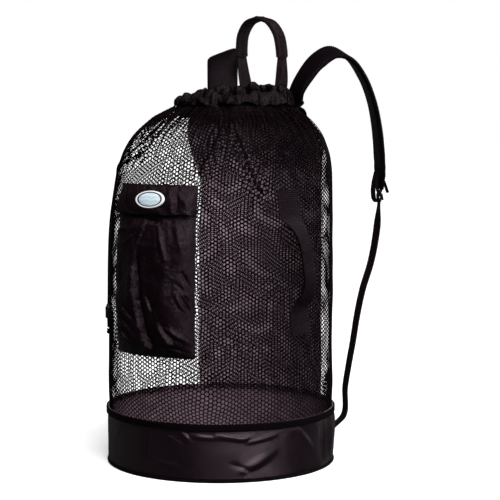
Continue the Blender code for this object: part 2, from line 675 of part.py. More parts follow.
def padded_strap(side, heading, material):
    """One padded strap; returns the middle of its end and its width's direction there."""
    reach, rise, turn, broad = STRAP_ROUTE.T
    foot_width = STRAP_WIDTH * broad[0]
    seat, angle = yoke_seat(side * STRAP_SPREAD, foot_width, STRAP_THICKNESS, (0.55, 0.40, 0.22, 0.05))
    start = seat[-1] + (0.0, 0.25 * STRAP_THICKNESS, 0.0)
    route = start + reach[:, None] * STRAP_REACH * bearing(heading)
    route[:, 2] = NET_TOP + rise * STRAP_RISE
    route = np.vstack((seat, route))
    turn = np.concatenate((np.zeros(len(seat)), turn))
    broad = np.concatenate((np.full(len(seat), broad[0]), broad))
    centres = curve_through(route, STRAP_SAMPLES)
    run = np.concatenate(([0.0], np.cumsum(np.linalg.norm(np.diff(route, axis=0), axis=1))))
    even = np.linspace(0.0, run[-1], len(centres))
    turn = np.interp(even, run, turn)[:, None]
    across = bearing(angle[-1] - 90.0) * (1 - turn) + bearing(heading - 90.0) * turn
    across = across - side * np.array((0.0, 0.0, STRAP_DIP)) * np.sin(math.pi * turn)
    breadth = STRAP_WIDTH * np.interp(even, run, broad)
    thickness = np.full(len(centres), STRAP_THICKNESS)
    thickness[-1] = 0.4 * STRAP_THICKNESS
    name = "shoulder_strap_right" if side > 0 else "shoulder_strap_left"
    loft(name, ribbon(centres, across, breadth, thickness, 0.6), material)
    return centres[-1], across[-1] / np.linalg.norm(across[-1])


def ladder_buckle(name, middle, across, down, material):
    """Ladder lock: a frame with two slots, the strap's loop above and webbing below."""
    slot = (BUCKLE_HEIGHT - 3 * BUCKLE_RAIL) / 2
    hole = BUCKLE_WIDTH - 2 * BUCKLE_SIDE
    shift = (slot + BUCKLE_RAIL) / 2
    outlines = [rounded_box(BUCKLE_WIDTH, BUCKLE_HEIGHT, BUCKLE_SIDE),
                rounded_box(hole, slot, 0.3 * slot, 0.0, shift),
                rounded_box(hole, slot, 0.3 * slot, 0.0, -shift)]
    obj = flat_plate(name, outlines, BUCKLE_THICKNESS, material)
    up = -down
    facing = np.cross(across, up)
    obj.matrix_world = Matrix((
        (across[0], up[0], facing[0], middle[0]), (across[1], up[1], facing[1], middle[1]),
        (across[2], up[2], facing[2], middle[2]), (0.0, 0.0, 0.0, 1.0)))


def strap_side(side, heading, tab_angle, padding, webbing_finish, plastic):
    """One shoulder strap with its ladder lock and the webbing down to the band."""
    end, across = padded_strap(side, heading, padding)
    outward = bearing(heading)
    word = "right" if side > 0 else "left"
    down = np.array((0.0, 0.0, -1.0))
    middle = end + down * (BUCKLE_HEIGHT / 2 + 2 * GAP)
    ladder_buckle("strap_buckle_" + word, middle, across, down, plastic)
    start = middle + down * (BUCKLE_HEIGHT / 2 + 2 * GAP)
    tab = bearing(tab_angle) * (BAG_RADIUS + TAB_OUT)
    tab[2] = TAB_HEIGHT
    along, drop, swing = WEBBING_ROUTE.T
    way = tab - start
    route = start + along[:, None] * way * (1, 1, 0) + swing[:, None] * STRAP_REACH * outward
    route[:, 2] = start[2] + drop * way[2]
    foot = tab - bearing(tab_angle) * 0.6 * BAND_THICKNESS
    route = np.vstack((route, tab + (0, 0, 0.1 * TAB_HEIGHT), foot - (0, 0, 0.5 * TAB_HEIGHT)))
    centres = curve_through(route, WEBBING_SAMPLES)
    share = np.linspace(0.0, 1.0, len(centres))[:, None]
    edge = across * (1 - share) + bearing(tab_angle - 90.0) * share
    loft("strap_webbing_" + word, ribbon(centres, edge, WEBBING, WEBBING_THICKNESS), webbing_finish)


def top_handle(material, grip_material):
    """Webbing loop that stands up behind the collar, with a wrapped grip on its top."""
    half, foot = HANDLE_SPAN / 2, HANDLE_FOOT_SPAN / 2
    seat, angle = yoke_seat(foot, WEBBING, WEBBING_THICKNESS, (0.70, 0.50, 0.26, 0.04))
    rise = HANDLE_TOP - NET_TOP
    side, up = HANDLE_LEG[:, 0], HANDLE_LEG[:, 1]
    turn = np.radians((30.0, 60.0, 90.0))
    side = np.append(side, np.cos(turn))
    up = np.append(up, up[-1] + (1 - up[-1]) * np.sin(turn))
    loop = np.stack((half * side, np.full(len(side), HANDLE_BACK), NET_TOP + rise * up), -1)
    right = curve_through(np.vstack((seat, loop)), HANDLE_SAMPLES)
    share = np.clip(((right[:, 2] - NET_TOP) / rise + 0.04) / 0.26, 0, 1)[:, None]
    turned_in = bearing(angle[-1] - 90.0) * (1 - share) + bearing(90.0) * share
    centres = np.vstack((right, right[-2::-1] * (-1, 1, 1)))
    centres[:, 0] += HANDLE_LEAN * np.clip((centres[:, 2] - NET_TOP) / rise, 0, 1)
    across = np.vstack((turned_in, turned_in[-2::-1] * (-1, 1, 1)))
    loft("top_handle", ribbon(centres, across, WEBBING, WEBBING_THICKNESS), material)

    spine, edge = centres[GRIP_SECTIONS], across[GRIP_SECTIONS]
    tube = ribbon(spine, edge, WEBBING + 4 * GAP, WEBBING_THICKNESS + 4 * GAP)
    obj = cloth("handle_grip", tube, GRIP_THICKNESS, grip_material, wrap=True)
    wall = obj.modifiers["wall"]
    wall.use_even_offset = True
    mesh_edit = bmesh.new()
    mesh_edit.from_mesh(obj.data)
    centre = Vector(spine[len(spine) // 2])
    face = max(mesh_edit.faces, key=lambda item: item.calc_center_median().z)
    if (face.calc_center_median() - centre).dot(face.normal) < 0:
        bmesh.ops.reverse_faces(mesh_edit, faces=mesh_edit.faces)
    mesh_edit.to_mesh(obj.data)
    mesh_edit.free()


def side_handle(material):
    """Webbing handle down the front right, sewn flat at both ends and folded between."""
    share = np.linspace(0.0, 1.0, 25)
    table = smooth(SIDE_HANDLE_ROUTE, share)
    proud, fold = np.clip(table[:, 0], 0, None), np.clip(table[:, 1], 0, 1)
    thickness = WEBBING_THICKNESS * (1 + 1.2 * fold)
    angle = SIDE_HANDLE_TOP_ANGLE + share * (SIDE_HANDLE_BOTTOM_ANGLE - SIDE_HANDLE_TOP_ANGLE)
    height = SIDE_HANDLE_TOP + share * (SIDE_HANDLE_BOTTOM - SIDE_HANDLE_TOP)
    lift = GAP + thickness / 2
    centres = on_bag(angle, height, lift + proud * SIDE_HANDLE_PROUD)
    across = np.array([bearing(turn + 90.0) for turn in angle])
    breadth = SIDE_HANDLE_WIDTH + (SIDE_HANDLE_FOLDED - SIDE_HANDLE_WIDTH) * fold
    loft("side_handle", ribbon(centres, across, breadth, thickness), material)


def cord_route(name):
    """Smooth centre line of one end of the pocket's drawcord."""
    end = POCKET_ANGLE - half_angle(POCKET_WIDTH + 2 * FLAP_MARGIN)
    turn, out, height = np.array(CORD_ROUTES[name]).T
    return curve_through(on_bag(end - math.degrees(3.4 * GAP / BAG_RADIUS) + turn, height, out), CORD_SAMPLES)


def drawcord(material, plastic):
    """Two cord ends, the lock that slides on both and the knot that joins them."""
    ends = []
    for name in CORD_ROUTES:
        points = cord_route(name)
        curve = bpy.data.curves.new(name, "CURVE")
        curve.dimensions = "3D"
        curve.bevel_depth = CORD_DIAMETER / 2
        curve.bevel_resolution = 1
        curve.use_fill_caps = True
        spline = curve.splines.new("POLY")
        spline.points.add(len(points) - 1)
        for point, place_at in zip(spline.points, points):
            point.co = (*place_at, 1.0)
        obj = bpy.data.objects.new(name, curve)
        PARTS.objects.link(obj)
        curve.materials.append(material)
        ends.append(points)
    through = [points[np.argmin(np.abs(points[:, 2] - LOCK_AT))] for points in ends]
    middle = (through[0] + through[1]) / 2
    side = through[1] - through[0]
    facing = math.atan2(side[1], side[0])
    lock_mesh = bmesh.new()
    bmesh.ops.create_cube(lock_mesh, size=1.0, matrix=Matrix.Diagonal(
        (LOCK_WIDTH, LOCK_DEPTH, LOCK_HEIGHT, 1.0)))
    mesh = bpy.data.meshes.new("cord_lock")
    lock_mesh.to_mesh(mesh)
    lock_mesh.free()
    lock = place("cord_lock", mesh, plastic)
    lock.matrix_world = (Matrix.Translation((middle[0], middle[1], LOCK_AT))
                         @ Matrix.Rotation(facing, 4, "Z"))
    edge = lock.modifiers.new("eased", "BEVEL")
    edge.width = LOCK_EASE
    edge.segments = 2
    for points in ends:
        near = points[np.abs(points[:, 2] - LOCK_AT) < LOCK_HEIGHT]
        cut(lock, near, CORD_DIAMETER / 2 + GAP)
    middle = (ends[0][-1] + ends[1][-1]) / 2
    mesh = bpy.data.meshes.new("cord_knot")
    knot_mesh = bmesh.new()
    bmesh.ops.create_uvsphere(knot_mesh, u_segments=12, v_segments=8, radius=KNOT_RADIUS)
    bmesh.ops.scale(knot_mesh, vec=(0.9, 0.7, 1.0), verts=knot_mesh.verts)
    knot_mesh.to_mesh(mesh)
    knot_mesh.free()
    knot = place("cord_knot", mesh, material)
    knot.matrix_world = (Matrix.Translation((middle[0], middle[1], middle[2] - KNOT_RADIUS - GAP))
                         @ Matrix.Rotation(facing, 4, "Z"))
    shade(knot)


def cut(obj, points, radius):
    """Bore a lock's hole along a cord."""
    turn = np.arange(BORE_SIDES) * math.tau / BORE_SIDES
    ring = np.stack((np.cos(turn), np.sin(turn), np.zeros(BORE_SIDES)), -1) * radius
    rings = points[:, None, :] + ring[None]
    mesh = bpy.data.meshes.new("cord_bore")
    count = len(rings)
    faces = grid_faces(count, BORE_SIDES, wrap=True)
    faces += [list(range(BORE_SIDES)),
              list(range(count * BORE_SIDES - 1, (count - 1) * BORE_SIDES - 1, -1))]
    mesh.from_pydata(rings.reshape(-1, 3).tolist(), [], faces)
    mesh_edit = bmesh.new()
    mesh_edit.from_mesh(mesh)
    bmesh.ops.recalc_face_normals(mesh_edit, faces=mesh_edit.faces)
    mesh_edit.to_mesh(mesh)
    mesh_edit.free()
    bore = bpy.data.objects.new("cord_bore", mesh)
    CUTTERS.objects.link(bore)
    bore.hide_render = True
    bore.display_type = "WIRE"
    hole = obj.modifiers.new("bore", "BOOLEAN")
    hole.operation = "DIFFERENCE"
    hole.object = bore


def build():
    coated = finish("coated_nylon", BLACK_NYLON, 0.42)
    base(coated, finish("binding_tape", BLACK_WEBBING, 0.7))
    net(finish("net", BLACK_NET, 0.6))
    back(finish("panel_nylon", BLACK_NYLON, 0.6), finish("yoke_nylon", BLACK_WEBBING, 0.6))
    collar(finish("collar_nylon", BLACK_NYLON, 0.5))
    pocket(finish("pocket_nylon", BLACK_NYLON, 0.45), finish("badge_rubber", BADGE_BLUE, 0.45))
    padding = finish("strap_padding", BLACK_WEBBING, 0.65)
    webbing = finish("webbing", BLACK_WEBBING, 0.6)
    plastic = finish("moulded_plastic", BLACK_PLASTIC, 0.35)
    strap_side(1, RIGHT_STRAP_BEARING, RIGHT_TAB_ANGLE, padding, webbing, plastic)
    strap_side(-1, LEFT_STRAP_BEARING, LEFT_TAB_ANGLE, padding, webbing, plastic)
    top_handle(webbing, finish("grip_tape", BLACK_WEBBING, 0.7))
    side_handle(webbing)
    drawcord(finish("cord", BLACK_WEBBING, 0.7), plastic)
    bpy.context.view_layer.update()


build()
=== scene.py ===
"""Mesh dive gear bag: the net, the cloth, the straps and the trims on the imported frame.

Metres, +Z up, the base's centre on the floor at the origin, the pocket towards -Y.
Angles are in degrees about +Z from +X.
"""

import math

import bmesh
import bpy
import numpy as np
from bpy.props import FloatProperty, FloatVectorProperty, IntProperty, PointerProperty
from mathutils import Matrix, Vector


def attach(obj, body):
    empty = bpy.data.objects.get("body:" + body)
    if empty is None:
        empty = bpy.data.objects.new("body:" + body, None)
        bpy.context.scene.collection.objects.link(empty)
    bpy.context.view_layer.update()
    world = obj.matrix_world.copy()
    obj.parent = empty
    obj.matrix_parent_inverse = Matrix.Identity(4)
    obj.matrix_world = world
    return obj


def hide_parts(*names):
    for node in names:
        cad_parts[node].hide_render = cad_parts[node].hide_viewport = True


bl_info = {
    "name": "Mesh Dive Gear Bag",
    "version": (1, 0, 0),
    "blender": (4, 5, 0),
    "location": "View3D > Sidebar > Dive Bag",
    "description": "Makes the net, cloth, straps and trims of a mesh dive gear bag",
    "category": "Add Mesh",
}

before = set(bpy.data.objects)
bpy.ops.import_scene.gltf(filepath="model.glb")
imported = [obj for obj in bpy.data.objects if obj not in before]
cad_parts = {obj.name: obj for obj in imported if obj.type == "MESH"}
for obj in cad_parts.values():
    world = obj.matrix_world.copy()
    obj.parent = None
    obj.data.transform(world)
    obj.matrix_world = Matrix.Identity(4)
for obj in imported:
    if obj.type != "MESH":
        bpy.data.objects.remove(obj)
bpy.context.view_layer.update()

GAP = 0.0004
BAG_RADIUS = 0.210           # outer face of the net
NET_FOOT, NET_TOP = 0.097, 0.666
BASE_THICKNESS = 0.003
PIPING_RADIUS = 0.0030
BAND_HEIGHT = 0.105
BAND_THICKNESS = 0.0018
BINDING_WIDTH = 0.012
BINDING_THICKNESS = 0.0022
BINDING_LIP = 0.0008
PIPING_MIDDLE = BAG_RADIUS + 3 * GAP + BAND_THICKNESS / 2
PANEL_ANGLE, PANEL_WIDTH = 91.5, 0.286
PANEL_THICKNESS = 0.0020
PANEL_SHIFT = -0.8           # degrees that its middle lies off PANEL_ANGLE
PANEL_FLARE, PANEL_TURN = 0.27, 5.5    # wider and turned towards the collar, in shares and degrees
PANEL_FLARE_FROM, PANEL_FLARE_RISE = 0.505, 0.115
PANEL_CLOTH, YOKE_CLOTH, FLOOR_CLOTH = 0.0013, 0.0015, 0.0011
HEM = 0.0006                 # how much thicker the panel's folded edge is
YOKE_WIDTH, YOKE_HEIGHT, YOKE_DROP = 0.196, 0.056, 0.008
YOKE_THICKNESS = 0.0022
PANEL_OUT = 3 * GAP
YOKE_OUT = PANEL_OUT + PANEL_THICKNESS + 3.5 * GAP
TOP_OF_YOKE = YOKE_OUT + YOKE_THICKNESS + 1.25 * GAP
COLLAR_RADIUS, COLLAR_LEAN = 0.110, 0.050
COLLAR_RISE, COLLAR_SKIRT, COLLAR_TILT = 0.031, 0.018, 0.011
PLEATS, PLEAT_DEPTH = 15, 0.0034
POCKET_ANGLE, POCKET_WIDTH = -98.0, 0.186
POUCH_TRIM, FLAP_TRIM = 0.9, 1.6        # degrees that the cloth's right edge is drawn in, twice over
POCKET_TOP, POCKET_BOTTOM = 0.526, 0.222
FLAP_HEIGHT, FLAP_MARGIN, FLAP_PROUD = 0.053, 0.0045, 0.0125
POUCH_PROUD, POUCH_TUCK = 0.024, 0.014
BADGE_WIDTH, BADGE_HEIGHT, BADGE_THICKNESS, BADGE_AT = 0.062, 0.031, 0.0022, 0.4985
BADGE_CLEAR = 0.0006
WEBBING, WEBBING_THICKNESS = 0.025, 0.0020
STRAP_WIDTH, STRAP_THICKNESS = 0.062, 0.0105
STRAP_SPREAD, STRAP_REACH, STRAP_RISE, STRAP_DIP = 0.072, 0.171, 0.104, 0.45
SIDES = {"right": 1, "left": -1}
STRAP_BEARINGS = {"right": 34.0, "left": 118.0}
TAB_ANGLES = {"right": 46.0, "left": 122.0}
TAB_HEIGHT, TAB_OUT = 0.030, 0.011
PAD_TWIST, WEBBING_TWIST = 5.0, 22.0   # turn of a pad's end and of its webbing, in degrees
STRAP_PIPING = 0.0017
BUCKLE_WIDTH, BUCKLE_HEIGHT = 0.034, 0.024
BUCKLE_RAIL, BUCKLE_BAR, BUCKLE_FOOT, BUCKLE_LIP = 0.0020, 0.0019, 0.0021, 0.0014
HANDLE_TOP, HANDLE_SPAN, HANDLE_LEAN = 0.838, 0.094, -0.010
HANDLE_DRAW = 0.0035         # how far each leg stands inside half of the span
HANDLE_FOOT_SPAN, HANDLE_BACK = 0.056, 0.185
HANDLE_BEARING = 72.0        # which way its webbing's width lies
GRIP_FROM, GRIP_TO = 0.305, 0.695
GRIP_WIDER, GRIP_THICKER, GRIP_TURN, GRIP_STEP = 0.0055, 0.0058, 0.0085, 0.0007
SIDE_HANDLE_TOP, SIDE_HANDLE_BOTTOM = 0.518, 0.257
SIDE_HANDLE_TOP_ANGLE, SIDE_HANDLE_BOTTOM_ANGLE = -28.5, -18.5
SIDE_HANDLE_WIDTH, SIDE_HANDLE_FOLDED, SIDE_HANDLE_PROUD = 0.048, 0.027, 0.034
RIB_PITCH, RIB_HEIGHT = 0.0038, 0.00042
CORD_DIAMETER = 0.0030
CORD_LEAVES = 3.4 * GAP      # clear of the flap's end
LOCK_WIDTH, LOCK_HEIGHT, LOCK_DEPTH, LOCK_AT = 0.014, 0.026, 0.010, 0.290
KNOT_RADIUS, KNOT_LOOP, KNOT_CORD = 0.0060, 0.00125, 0.00150
NET_MIDDLE, YARN_DEPTH = -0.00095, 0.36      # below the outer face, and a share of its width
GATHER_FROM, GATHER_RISE = 0.585, 0.065
STITCH_SIDE, STITCH_PROUD = 0.00045, 0.00035
UP = np.array((0.0, 0.0, 1.0))

# Outline of the net: height as a share of the net's, spread of the radius between
# collar and band, lean of the collar's lean
NET_OUTLINE = np.array([
    (0.00, 1.000, 0.00), (0.06, 1.015, 0.00), (0.25, 1.010, 0.00), (0.50, 1.010, 0.02),
    (0.64, 0.990, 0.10), (0.73, 0.955, 0.22), (0.80, 0.915, 0.36), (0.86, 0.825, 0.50),
    (0.915, 0.640, 0.66), (0.96, 0.370, 0.84), (1.00, 0.000, 1.00),
])

# Long creases of the net, each as rows of height and angle
NET_CREASES = (
    ((0.655, -107.0), (0.640, -107.0), (0.621, -106.0), (0.605, -108.0), (0.587, -109.0),
     (0.572, -116.4), (0.549, -135.0)),
    ((0.652, -113.0), (0.634, -113.5), (0.612, -114.0), (0.594, -119.0), (0.566, -133.0),
     (0.545, -150.0)),
    ((0.650, -67.0), (0.634, -67.5), (0.606, -68.1), (0.579, -70.8), (0.560, -73.9),
     (0.535, -74.0)),
    ((0.652, -62.0), (0.6445, -61.5), (0.603, -55.6), (0.581, -52.4), (0.548, -48.9),
     (0.5245, -45.3), (0.505, -40.0)),
    ((0.650, 8.0), (0.620, 6.0), (0.590, 2.0), (0.560, -3.0)),
    ((0.650, -160.0), (0.620, -163.0), (0.585, -170.0), (0.560, -176.0)),
)
# Width of a crease, how far it stands out, how far its sides draw together
CREASE_WIDTH, CREASE_LIFT, CREASE_DRAW = 0.0110, 0.0036, 1.85
NET_WARP, NET_SLACK = 0.0030, 0.0011

# Side where the frill has sunk in: its middle, its spread, the share of its height that
# it loses there and how far inside COLLAR_RADIUS it lies, as a share
SLACK_ANGLE, SLACK_SPREAD, SLACK_SINK, SLACK_DRAW = -150.0, 46.0, 0.40, 0.020

# Collar from the hem of its inner skirt over the fold to the frill's hem: out is a
# share of COLLAR_RADIUS, rise of COLLAR_RISE above the net's edge and of
# COLLAR_SKIRT below it, pleat of PLEAT_DEPTH
COLLAR_OUTLINE = np.array([
    # along, out, rise, pleat
    (0.00, 0.050, -1.00, 0.6), (0.22, -0.005, -0.45, 0.4), (0.38, -0.040, 0.00, 0.2),
    (0.50, -0.115, 0.45, 0.8), (0.66, -0.110, 0.92, 1.0), (0.78, -0.050, 1.00, 1.1),
    (0.90, 0.022, 0.50, 1.1), (1.00, 0.040, 0.00, 1.0),
])

# Dents and swells of the coated band: angle, height, half width, half height as
# shares of the band's height, out as a share of its thickness
BAND_DENTS = np.array([
    (-40.0, 0.28, 13.0, 0.30, -1.0), (-66.0, 0.72, 16.0, 0.18, -0.5),
    (-92.0, 0.60, 10.0, 0.24, -0.8), (28.0, 0.62, 12.0, 0.30, 2.0),
    (6.0, 0.40, 8.0, 0.40, -1.5), (-130.0, 0.45, 14.0, 0.30, -1.2),
    (150.0, 0.50, 18.0, 0.30, -1.8), (90.0, 0.40, 20.0, 0.30, -1.4),
])
# Sharp creases of the band: from angle and height to angle and height, width, out
BAND_CREASES = np.array([
    (-81.5, 0.090, -77.0, 0.074, 0.0040, 0.0026), (-76.0, 0.083, -64.5, 0.080, 0.0040, 0.0024),
    (-64.0, 0.085, -50.5, 0.078, 0.0044, 0.0028), (-54.0, 0.076, -46.0, 0.084, 0.0038, 0.0022),
    (-48.5, 0.072, -35.0, 0.082, 0.0044, 0.0030), (-90.0, 0.084, -83.0, 0.070, 0.0040, 0.0016),
    (-50.5, 0.022, -37.0, 0.050, 0.0085, 0.0050), (-57.0, 0.034, -47.0, 0.020, 0.0050, -0.0014),
    (-98.0, 0.033, -84.0, 0.029, 0.0045, 0.0018), (-101.0, 0.090, -103.0, 0.030, 0.0080, -0.0024),
    (2.5, 0.086, 3.6, 0.012, 0.0040, 0.0026), (8.5, 0.080, 9.6, 0.016, 0.0036, -0.0020),
    (14.0, 0.088, 12.5, 0.020, 0.0040, 0.0024), (-22.0, 0.088, -12.0, 0.050, 0.0060, 0.0020),
    (-120.0, 0.086, -131.0, 0.052, 0.0060, 0.0014), (36.0, 0.085, 48.0, 0.040, 0.0060, 0.0014),
    (70.0, 0.030, 95.0, 0.060, 0.0070, -0.0018), (112.0, 0.080, 126.0, 0.050, 0.0060, 0.0016),
    (150.0, 0.086, 162.0, 0.040, 0.0060, 0.0018), (185.0, 0.030, 200.0, 0.070, 0.0070, -0.0018),
])

# Folds of the pouch: ridges between two points, in shares of its half width from its
# middle and of its height from its top, with a width and a height in shares of its
# half width and of POUCH_PROUD
POUCH_FOLDS = np.array([
    # across, down, across_end, down_end, width, out
    (-0.92, 0.275, -0.51, 0.25, 0.045, 0.08), (-0.51, 0.25, -0.22, 0.185, 0.045, 0.09),
    (-0.22, 0.185, -0.045, 0.12, 0.045, 0.09), (-0.50, 0.16, -0.12, 0.12, 0.120, 0.12),
    (-0.045, 0.12, -0.16, 0.24, 0.050, 0.09), (-0.16, 0.24, -0.24, 0.41, 0.050, 0.10),
    (-0.24, 0.41, -0.245, 0.56, 0.050, 0.10), (-0.245, 0.56, -0.20, 0.69, 0.050, 0.10),
    (-0.20, 0.69, -0.075, 0.82, 0.050, 0.10), (-0.14, 0.36, -0.10, 0.62, 0.085, -0.28),
    (-0.10, 0.62, 0.05, 0.90, 0.095, -0.34), (-0.30, 0.30, -0.32, 0.70, 0.120, 0.16),
    (0.30, 0.14, 0.47, 0.34, 0.060, 0.16), (0.14, 0.84, 0.16, 0.95, 0.130, -0.40),
    (-0.81, 0.61, -0.13, 0.80, 0.055, 0.13), (-0.86, 0.70, -0.22, 0.88, 0.050, 0.12),
    (-0.80, 0.80, -0.30, 0.94, 0.050, 0.12), (-0.80, 0.66, -0.20, 0.84, 0.040, -0.12),
    (0.05, 0.61, 0.29, 0.735, 0.050, 0.12), (0.12, 0.60, 0.27, 0.75, 0.045, -0.12),
    (0.655, 0.56, 0.90, 0.71, 0.050, 0.12), (0.69, 0.50, 0.88, 0.56, 0.045, -0.12),
    (0.78, 0.43, 0.97, 0.55, 0.045, -0.22), (0.80, 0.52, 0.98, 0.64, 0.040, 0.14),
    (0.78, 0.60, 0.97, 0.72, 0.045, -0.22), (0.32, 0.78, 0.62, 0.93, 0.070, 0.24),
    (0.52, 0.80, 0.95, 0.90, 0.060, 0.18), (0.40, 0.90, 0.95, 0.97, 0.050, -0.16),
    (-0.10, 0.07, 0.28, 0.10, 0.060, -0.22), (-0.62, 0.34, -0.66, 0.56, 0.200, -0.16),
    (0.45, 0.40, 0.40, 0.74, 0.150, 0.10), (-0.92, 0.20, -0.60, 0.15, 0.060, 0.14),
    (0.62, 0.10, 0.80, 0.30, 0.080, 0.14), (-0.45, 0.10, -0.60, 0.20, 0.050, -0.12),
])
# Folds of the flap: across and rise of both ends, width, out in shares of FLAP_PROUD
FLAP_FOLDS = np.array([
    (-0.86, 0.92, -0.66, 0.10, 0.050, 0.20), (-0.70, 0.90, -0.52, 0.18, 0.040, -0.16),
    (-0.98, 0.60, -0.80, 0.06, 0.045, 0.18), (0.46, 0.90, 0.56, 0.10, 0.045, 0.22),
    (0.58, 0.95, 0.68, 0.20, 0.040, -0.20), (0.66, 0.60, 0.95, 0.18, 0.060, 0.18),
    (0.92, 0.95, 0.98, 0.30, 0.040, 0.16), (-0.30, 0.24, 0.40, 0.06, 0.050, 0.16),
    (-0.48, 0.14, -0.16, 0.04, 0.040, -0.14), (-0.40, 0.98, 0.30, 0.90, 0.040, 0.10),
])

# Route of a padded strap from the yoke, and the webbing's from its buckle: see the
# columns. Reach and swing are shares of STRAP_REACH, rise of STRAP_RISE, broad of
# STRAP_WIDTH; along and drop are shares of the way to the tab.
STRAP_ROUTE = np.array([
    # reach, rise, turn, broad
    (0.000, 0.02, 0.00, 0.80), (0.030, 0.26, 0.06, 0.86), (0.130, 0.56, 0.20, 0.96),
    (0.270, 0.84, 0.42, 1.00), (0.440, 1.00, 0.66, 1.00), (0.620, 0.90, 0.88, 1.00),
    (0.782, 0.56, 1.00, 1.00), (0.892, 0.12, 1.00, 1.00), (0.955, -0.36, 1.00, 1.00),
    (0.985, -0.82, 1.00, 1.00), (0.997, -1.26, 1.00, 1.02), (0.990, -1.55, 1.00, 0.86),
])
WEBBING_ROUTE = np.array([
    # along, drop, swing
    (0.00, 0.00, 0.000), (0.05, 0.13, 0.000), (0.16, 0.26, 0.000), (0.33, 0.38, 0.000),
    (0.42, 0.49, -0.010), (0.50, 0.60, -0.010), (0.60, 0.70, 0.000), (0.69, 0.80, 0.010),
    (0.75, 0.92, 0.030),
])
# Webbing at a lock, as metres above the lock's foot and out: the end that runs over
# the middle bar, a pull tab, a slack loop and the loop that holds the top bar
LOCK_TAIL = np.array([
    (0.004, 0.0060), (0.010, 0.0052), (0.0172, 0.0024), (0.0160, -0.0018), (0.0090, -0.0024),
    (0.0030, -0.0010),
])
PULL_TAB = np.array([
    (0.062, 0.0026), (0.052, 0.0044), (0.042, 0.0086), (0.030, 0.0132), (0.018, 0.0172),
])
SLACK_LOOP = np.array([
    (0.066, -0.0035), (0.052, -0.0075), (0.034, -0.0110), (0.016, -0.0118), (0.004, -0.0090),
    (0.000, -0.0045), (0.005, -0.0012),
])
LOCK_LOOP = np.array([
    (0.052, -0.0030), (0.038, -0.0036), (0.0260, -0.0036), (0.0208, -0.0028), (0.0192, 0.0),
    (0.0208, 0.0028), (0.0260, 0.0036), (0.038, 0.0036), (0.052, 0.0030),
])
HANDLE_LEG = np.array([
    # across, rise
    (0.86, 0.20), (0.98, 0.44), (1.00, 0.66),
])
SIDE_HANDLE_ROUTE = np.array([
    # along, proud, fold
    (0.00, 0.00, 0.0), (0.11, 0.00, 0.0), (0.20, 0.10, 0.2), (0.27, 0.60, 0.7),
    (0.36, 0.92, 1.0), (0.50, 1.00, 1.0), (0.64, 0.92, 1.0), (0.73, 0.60, 0.7),
    (0.80, 0.10, 0.2), (0.89, 0.00, 0.0), (1.00, 0.00, 0.0),
])
# The drawcord's two ends: degrees from the flap's left end, metres off the net, height
CORD_ROUTES = {
    "pocket_cord_front": (
        (0.0, 0.0020, 0.4950), (-1.4, 0.0032, 0.4946), (-4.4, 0.0060, 0.4892),
        (-6.6, 0.0056, 0.4780), (-7.9, 0.0050, 0.4600), (-8.6, 0.0046, 0.4350),
        (-8.9, 0.0044, 0.4050), (-8.9, 0.0043, 0.3750), (-8.6, 0.0044, 0.3450),
        (-8.2, 0.0050, 0.3180), (-8.0, 0.0062, 0.2980), (-8.0, 0.0070, 0.2820),
        (-8.35, 0.0070, 0.2600),
    ),
    "pocket_cord_back": (
        (0.0, 0.0020, 0.5050), (-1.6, 0.0034, 0.5046), (-5.2, 0.0066, 0.4992),
        (-7.8, 0.0062, 0.4870), (-9.4, 0.0054, 0.4680), (-10.4, 0.0048, 0.4400),
        (-10.9, 0.0045, 0.4080), (-10.9, 0.0044, 0.3760), (-10.5, 0.0046, 0.3460),
        (-9.9, 0.0054, 0.3190), (-9.6, 0.0064, 0.2990), (-9.6, 0.0070, 0.2820),
        (-9.30, 0.0070, 0.2600),
    ),
}

# The photograph's camera
CAMERA_AT = (1.40841, -2.64884, 0.66)
CAMERA_TOWARDS = (-0.45131, 0.88806, -0.08756)
CAMERA_LENS, CAMERA_SENSOR = 115.2, 36.0

FLOOR_REACH, ROOM_LIGHT = 30.0, 0.06
LIT_MIDDLE = Vector((0.0, 0.0, 0.38))
LIGHTS = (
    # name, kind, bearing, distance, height, width or angle, own height, power
    ("overhead", "SUN", -50.0, 1.4, 3.0, math.radians(32.0), 0.0, 3.5),
    ("key", "AREA", -22.0, 2.4, 1.3, 0.9, 0.9, 40.0),
    ("fill", "AREA", -60.0, 2.9, 1.9, 2.4, 0.42, 18.0),
    ("rim", "AREA", 62.0, 2.6, 1.2, 0.6, 1.2, 10.0),
)
REFLECTION_TINT = (1.0, 0.76, 0.88, 1.0)     # of the dark dyes


class BagSizes(bpy.types.PropertyGroup):
    """Sizes of the fine detail."""
    net_cell: FloatProperty(
        name="Net cell", description="Height of one hexagon of the net", default=0.0074,
        min=0.004, max=0.02, precision=4, unit="LENGTH")
    net_yarn: FloatProperty(
        name="Net yarn", description="Width of the yarn between two holes", default=0.0021,
        min=0.0005, max=0.004, precision=4, unit="LENGTH")
    net_gathers: IntProperty(
        name="Net gathers", description="Gathers of the net under the collar", default=38, min=8, max=80)
    gather_depth: FloatProperty(
        name="Gather depth", description="How deep the gathers under the collar are", default=0.0030,
        min=0.0, max=0.006, precision=4, unit="LENGTH")
    cloth: FloatProperty(
        name="Cloth", description="Thickness of the nylon of collar, pouch and flap", default=0.0013,
        min=0.0005, max=0.003, precision=4, unit="LENGTH")
    stitch: FloatProperty(
        name="Stitch", description="Pitch of the seams' stitches", default=0.0042, min=0.002,
        max=0.01, precision=4, unit="LENGTH")


